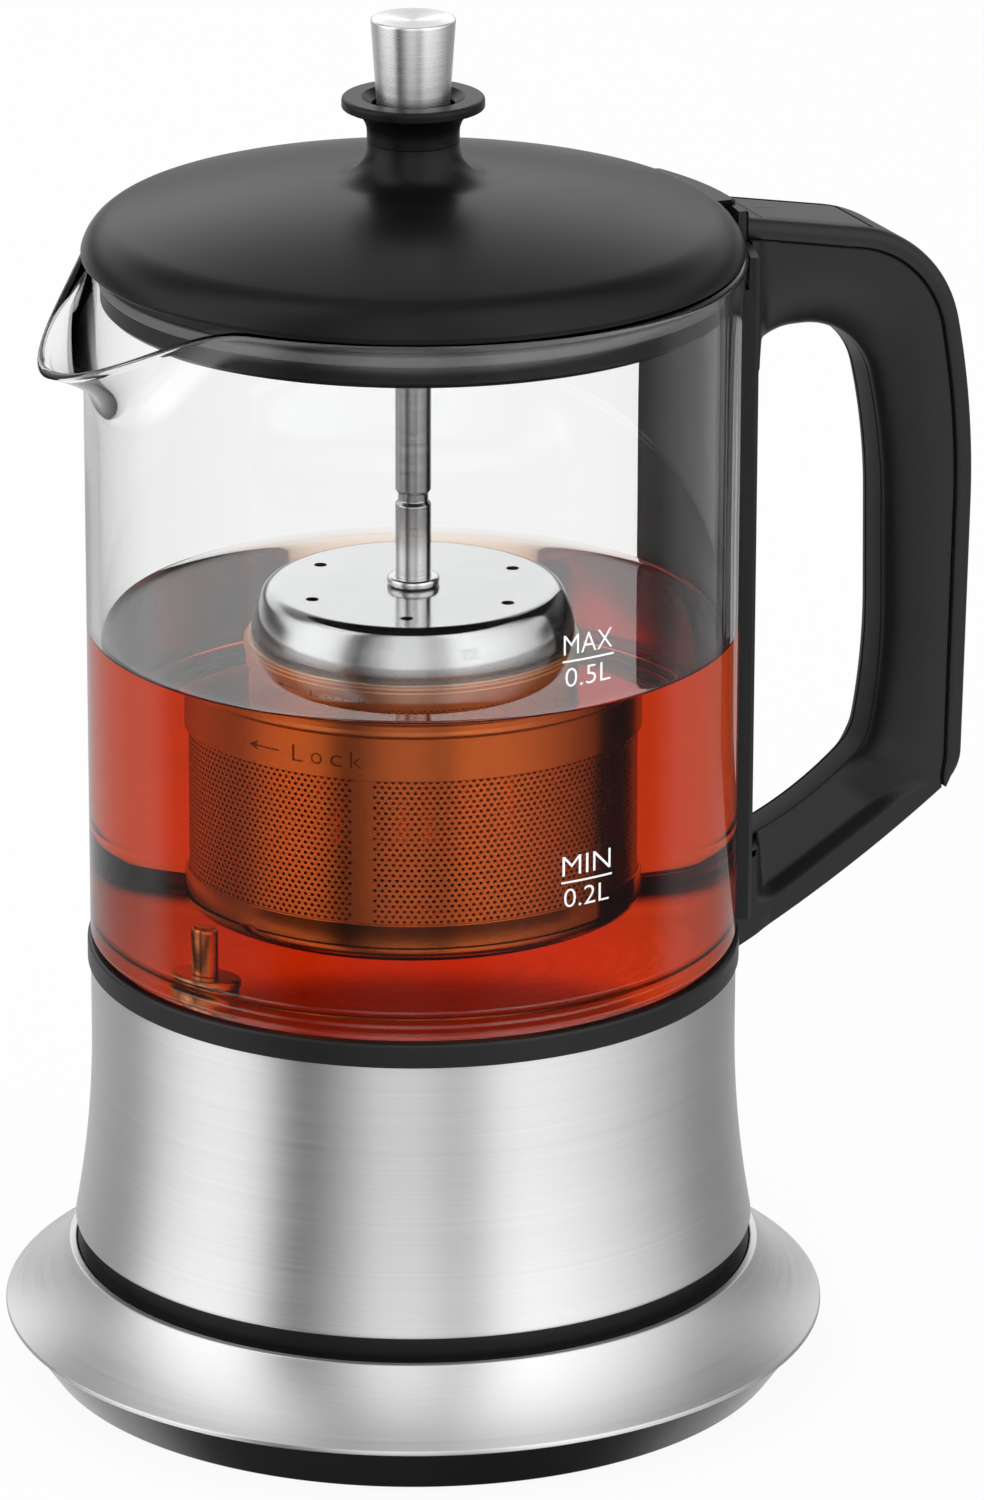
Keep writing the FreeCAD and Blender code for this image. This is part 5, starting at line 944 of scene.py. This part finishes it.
FILL_MARKS_TURN, LOCK_TURN = -82.2, -148.5
# The enamel's colour is the print's own, but its faint emission is a painted glow: the marks are no lamp.
painted_glow_enamel = moulded("white_enamel", (0.80, 0.80, 0.80), (0.90, 0.90, 0.90), 0.45, emission_color=(1, 1, 1, 1),
                 emission_strength=0.25)
fill_marks = bmesh.new()
for line, upper, lower in ((134.4, "MAX", "0.5L"), (97.9, "MIN", "0.2L")):
    fitted(fill_marks, lettering(upper), -4.5, line + 1.1, 8.9, 3.2)
    fitted(fill_marks, lettering(lower), -4.2, line - 4.2, 8.3, 3.1)
    bar(fill_marks, -4.7, line - 0.16, 9.4, 0.32)
wrapped(fill_marks, GLASS_OUTER + 0.05, FILL_MARKS_TURN)
placed("fill_marks", fill_marks, painted_glow_enamel, "jug")

etched = moulded("etched_steel", (0.20, 0.20, 0.20), (0.28, 0.28, 0.28), 0.50, metallic=1.0)
lock_mark = bmesh.new()
for step, letter in enumerate("Lock"):
    fitted(lock_mark, lettering(letter), -1.0 + step * 2.9, 112.0, 1.7, 2.7 if letter in "Lk" else 1.9)
bar(lock_mark, -8.4, 113.1, 5.2, 0.25)
tip = [lock_mark.verts.new(corner) for corner in
       ((-8.6, 113.22, 0), (-6.9, 112.4, 0), (-7.3, 113.22, 0), (-6.9, 114.05, 0))]
lock_mark.faces.new(tip)
wrapped(lock_mark, RIM_RADIUS + 0.01, LOCK_TURN, 0.02)
placed("lock_mark", lock_mark, etched, "basket")


def scored(name, start, end, height, body):
    """A fine dark line between two places on a surface whose height is given by a function."""
    line = Vector(end) - Vector(start)
    side = Vector((-line.y, line.x)).normalized() * 0.14
    rows = []
    for step in range(13):
        here = Vector(start) + line * (step / 12)
        level = height(here)
        rows.append([(*(here + side * turn), level + lift) for turn, lift in
                     ((-1, -0.05), (-1, 0.02), (1, 0.02), (1, -0.05))])
    placed(name, skinned(rows, closed=False), gloss_black, body)


def dome_height(here):
    """Height of the lid's dome at a place, from the two arcs of its outline."""
    rim, crown = bow(LID_EDGE, LID_SHOULDER, EDGE_BEND, 24), bow(LID_SHOULDER, LID_CROWN, DOME_BEND, 48)
    return graded(here.length, sorted(point[:2] for point in (LID_EDGE, *rim, LID_SHOULDER, *crown)))


scored("lid_line", (40.8, 4.25), (47.1, 3.79), dome_height, "lid")
scored("pad_line", (59.5, 0.2), (64.0, 1.8),
       lambda here: ARM_START[1] - (here.x - ARM_START[0]) * math.tan(math.radians(ARM_FALL)), "switch")

# ---------------------------------------------------------------- hidden and small pieces
# Every piece of the assembly that keeps its own shape gets the finish of its stock: screws, seals,
# contacts, the heating parts and the pieces inside base and lid.
brass = brushed("turned_brass", (0.62, 0.42, 0.16), (0.80, 0.58, 0.26), 0.28, fine=4000.0)
aluminium = brushed("cast_aluminium", (0.48, 0.49, 0.50), (0.64, 0.65, 0.66), 0.42, fine=1500.0)
zinc = brushed("zinc_plate", (0.52, 0.54, 0.56), (0.70, 0.72, 0.74), 0.34, fine=3000.0)
resin = moulded("brown_resin", (0.10, 0.06, 0.035), (0.15, 0.09, 0.05), 0.48)
stock = {
    "brushed_sheet": brushed_steel, "strainer_steel": strainer_steel, "polished_steel": plain_steel,
    "black_gloss": gloss_black, "black_satin": satin_black, "soft_black": soft_black,
    "black_rubber": rubber, "seal_silicone": silicone, "clear_glass": clear_glass,
    "contact_brass": brass, "bare_aluminium": aluminium, "moulded_resin": resin, "zinc_screw": zinc,
}
for row in frame["record"]["subparts"]:
    node = frame["nodes"][row["node"]]
    for holder in node.material_slots:
        holder.material = stock[row["material_slot"]]

# ---------------------------------------------------------------- studio
# A white table in a white room, lit evenly. What metal reflects is a ring of tall upright panels,
# brighter to the left and the right, with a dark gap low down and a darker ceiling.
scene = bpy.context.scene
scene.view_settings.view_transform = "Standard"
CAMERA_TURN = math.radians(23.5)
table = Finish("white_table")
path = table.node("LightPath")
paper = table.node("BsdfDiffuse", {
    "Color": table.between(table.speckle(6.0, 2.0), (0.93, 0.93, 0.93), (0.95, 0.95, 0.95))})
glow = table.node("Emission", {"Color": (1, 1, 1, 1), "Strength": 1.0})
clear = table.node("BsdfTransparent")
shown = table.node("MixShader", {
    0: (path * 0.93).then("MAXIMUM", path.out("Is Transmission Ray")), 1: paper, 2: glow})
table.node("OutputMaterial", {0: table.node("MixShader", {
    0: path.out("Is Glossy Ray"), 1: shown, 2: clear})})
table_shape = bmesh.new()
bmesh.ops.create_grid(table_shape, x_segments=8, y_segments=8, size=30.0)
table_mesh = meshed(table_shape)
table_mesh.materials.append(table.material)
table_top = added("table_top", table_mesh)

world = bpy.data.worlds.new("white_room")
world.use_nodes = True
scene.world = world
world.cycles.sampling_method = "NONE"
room = Board(world.node_tree)
heading = room.node("TexCoord", give="Generated")
parts = room.node("SeparateXYZ", {0: heading})
north, height = parts.out("Y"), parts.out("Z")
facing = north.then("ARCTAN2", parts) * (0.5 / math.pi) + (CAMERA_TURN / (2 * math.pi) + 0.5)


def ramp(value, *stops):
    """The level at a value, from stops of (value, level)."""
    return room.node("ValToRGB", {0: value}, stops=stops)


# Turn from the camera's line of sight, in degrees, with the level of the panels there.
PANELS = ((-180, 1.20), (-168, 1.28), (-153, 1.20), (-145, 0.95), (-138, 0.36), (-130, 0.12), (-122, 0.34),
          (-112, 0.62), (-103, 0.92), (-88, 0.93), (-76, 0.66), (-68, 0.72), (-60, 1.12), (-50, 1.30),
          (-35, 1.20), (-14, 0.98), (6, 0.68), (28, 0.46), (44, 0.42), (62, 0.62), (78, 0.85), (105, 0.95),
          (122, 0.80), (136, 0.60), (150, 0.52), (162, 0.72), (172, 1.02), (180, 1.20))
BRIGHTEST, MIRRORED_GAIN, PLAIN_LEVEL = 1.3, 1.45, 0.62
panels = ramp(facing.then("FRACT"), *[((turn + 180) / 360, level / BRIGHTEST) for turn, level in PANELS])
rise = height * 0.5 + 0.5
before = ramp(rise, (0.0, 0.10), (0.07, 0.10), (0.12, 0.9), (0.27, 1.0), (0.30, 0.06), (0.37, 0.06),
                (0.41, 1.0), (0.96, 1.0), (1.0, 0.35))
behind = ramp(rise, (0.0, 0.10), (0.07, 0.10), (0.12, 0.9), (0.27, 0.8), (0.31, 0.45), (0.38, 0.45),
                (0.42, 0.6), (0.47, 0.6), (0.51, 0.2), (0.56, 0.2), (0.61, 1.1), (0.72, 1.1), (0.78, 0.35),
                (1.0, 0.35))
depth = parts * math.sin(CAMERA_TURN) + north * math.cos(CAMERA_TURN)
far_side = room.node("MapRange", {"Value": depth, "From Min": 0.05, "From Max": 0.35},
                     interpolation_type="SMOOTHSTEP")
mirrored = panels * (BRIGHTEST * MIRRORED_GAIN) * (before * (1.0 - far_side) + behind * far_side)
rays = room.node("LightPath")
through = rays.then("MAXIMUM", rays.out("Is Transmission Ray"))
plain = through + (1.0 - through) * PLAIN_LEVEL
bounced = rays.out("Glossy Depth") > 0.5
back = room.node("Background", {0: plain * (1.0 - bounced) + mirrored * bounced})
room.node("OutputWorld", {0: back})

for name, spot_at, width, watts in (("lamp_left", (-1.5, -1.1, 1.5), 1.3, 17.0),
                                    ("lamp_right", (1.5, -0.9, 1.3), 1.0, 6.0),
                                    ("lamp_behind", (-0.3, 1.5, 1.7), 1.2, 8.0)):
    light = bpy.data.lights.new(name, "AREA")
    light.shape, light.size, light.energy = "SQUARE", width, watts
    lamp = added(name, light)
    lamp.location = spot_at
    lamp.rotation_euler = (Vector((0, 0, 0.1)) - Vector(spot_at)).to_track_quat("-Z", "Y").to_euler()
    lamp.visible_glossy = lamp.visible_transmission = False

CAMERA_PLACE, CAMERA_DOWN = (-0.5184, -1.1923, 0.5539), math.radians(19.10)
lens = bpy.data.cameras.new("camera")
lens.lens, lens.sensor_width, lens.shift_x = 204.3, 36.0, 0.0524
camera = added("camera", lens)
camera.location = CAMERA_PLACE
camera.rotation_euler = (math.pi / 2 - CAMERA_DOWN, 0.0, -CAMERA_TURN)
scene.camera = camera
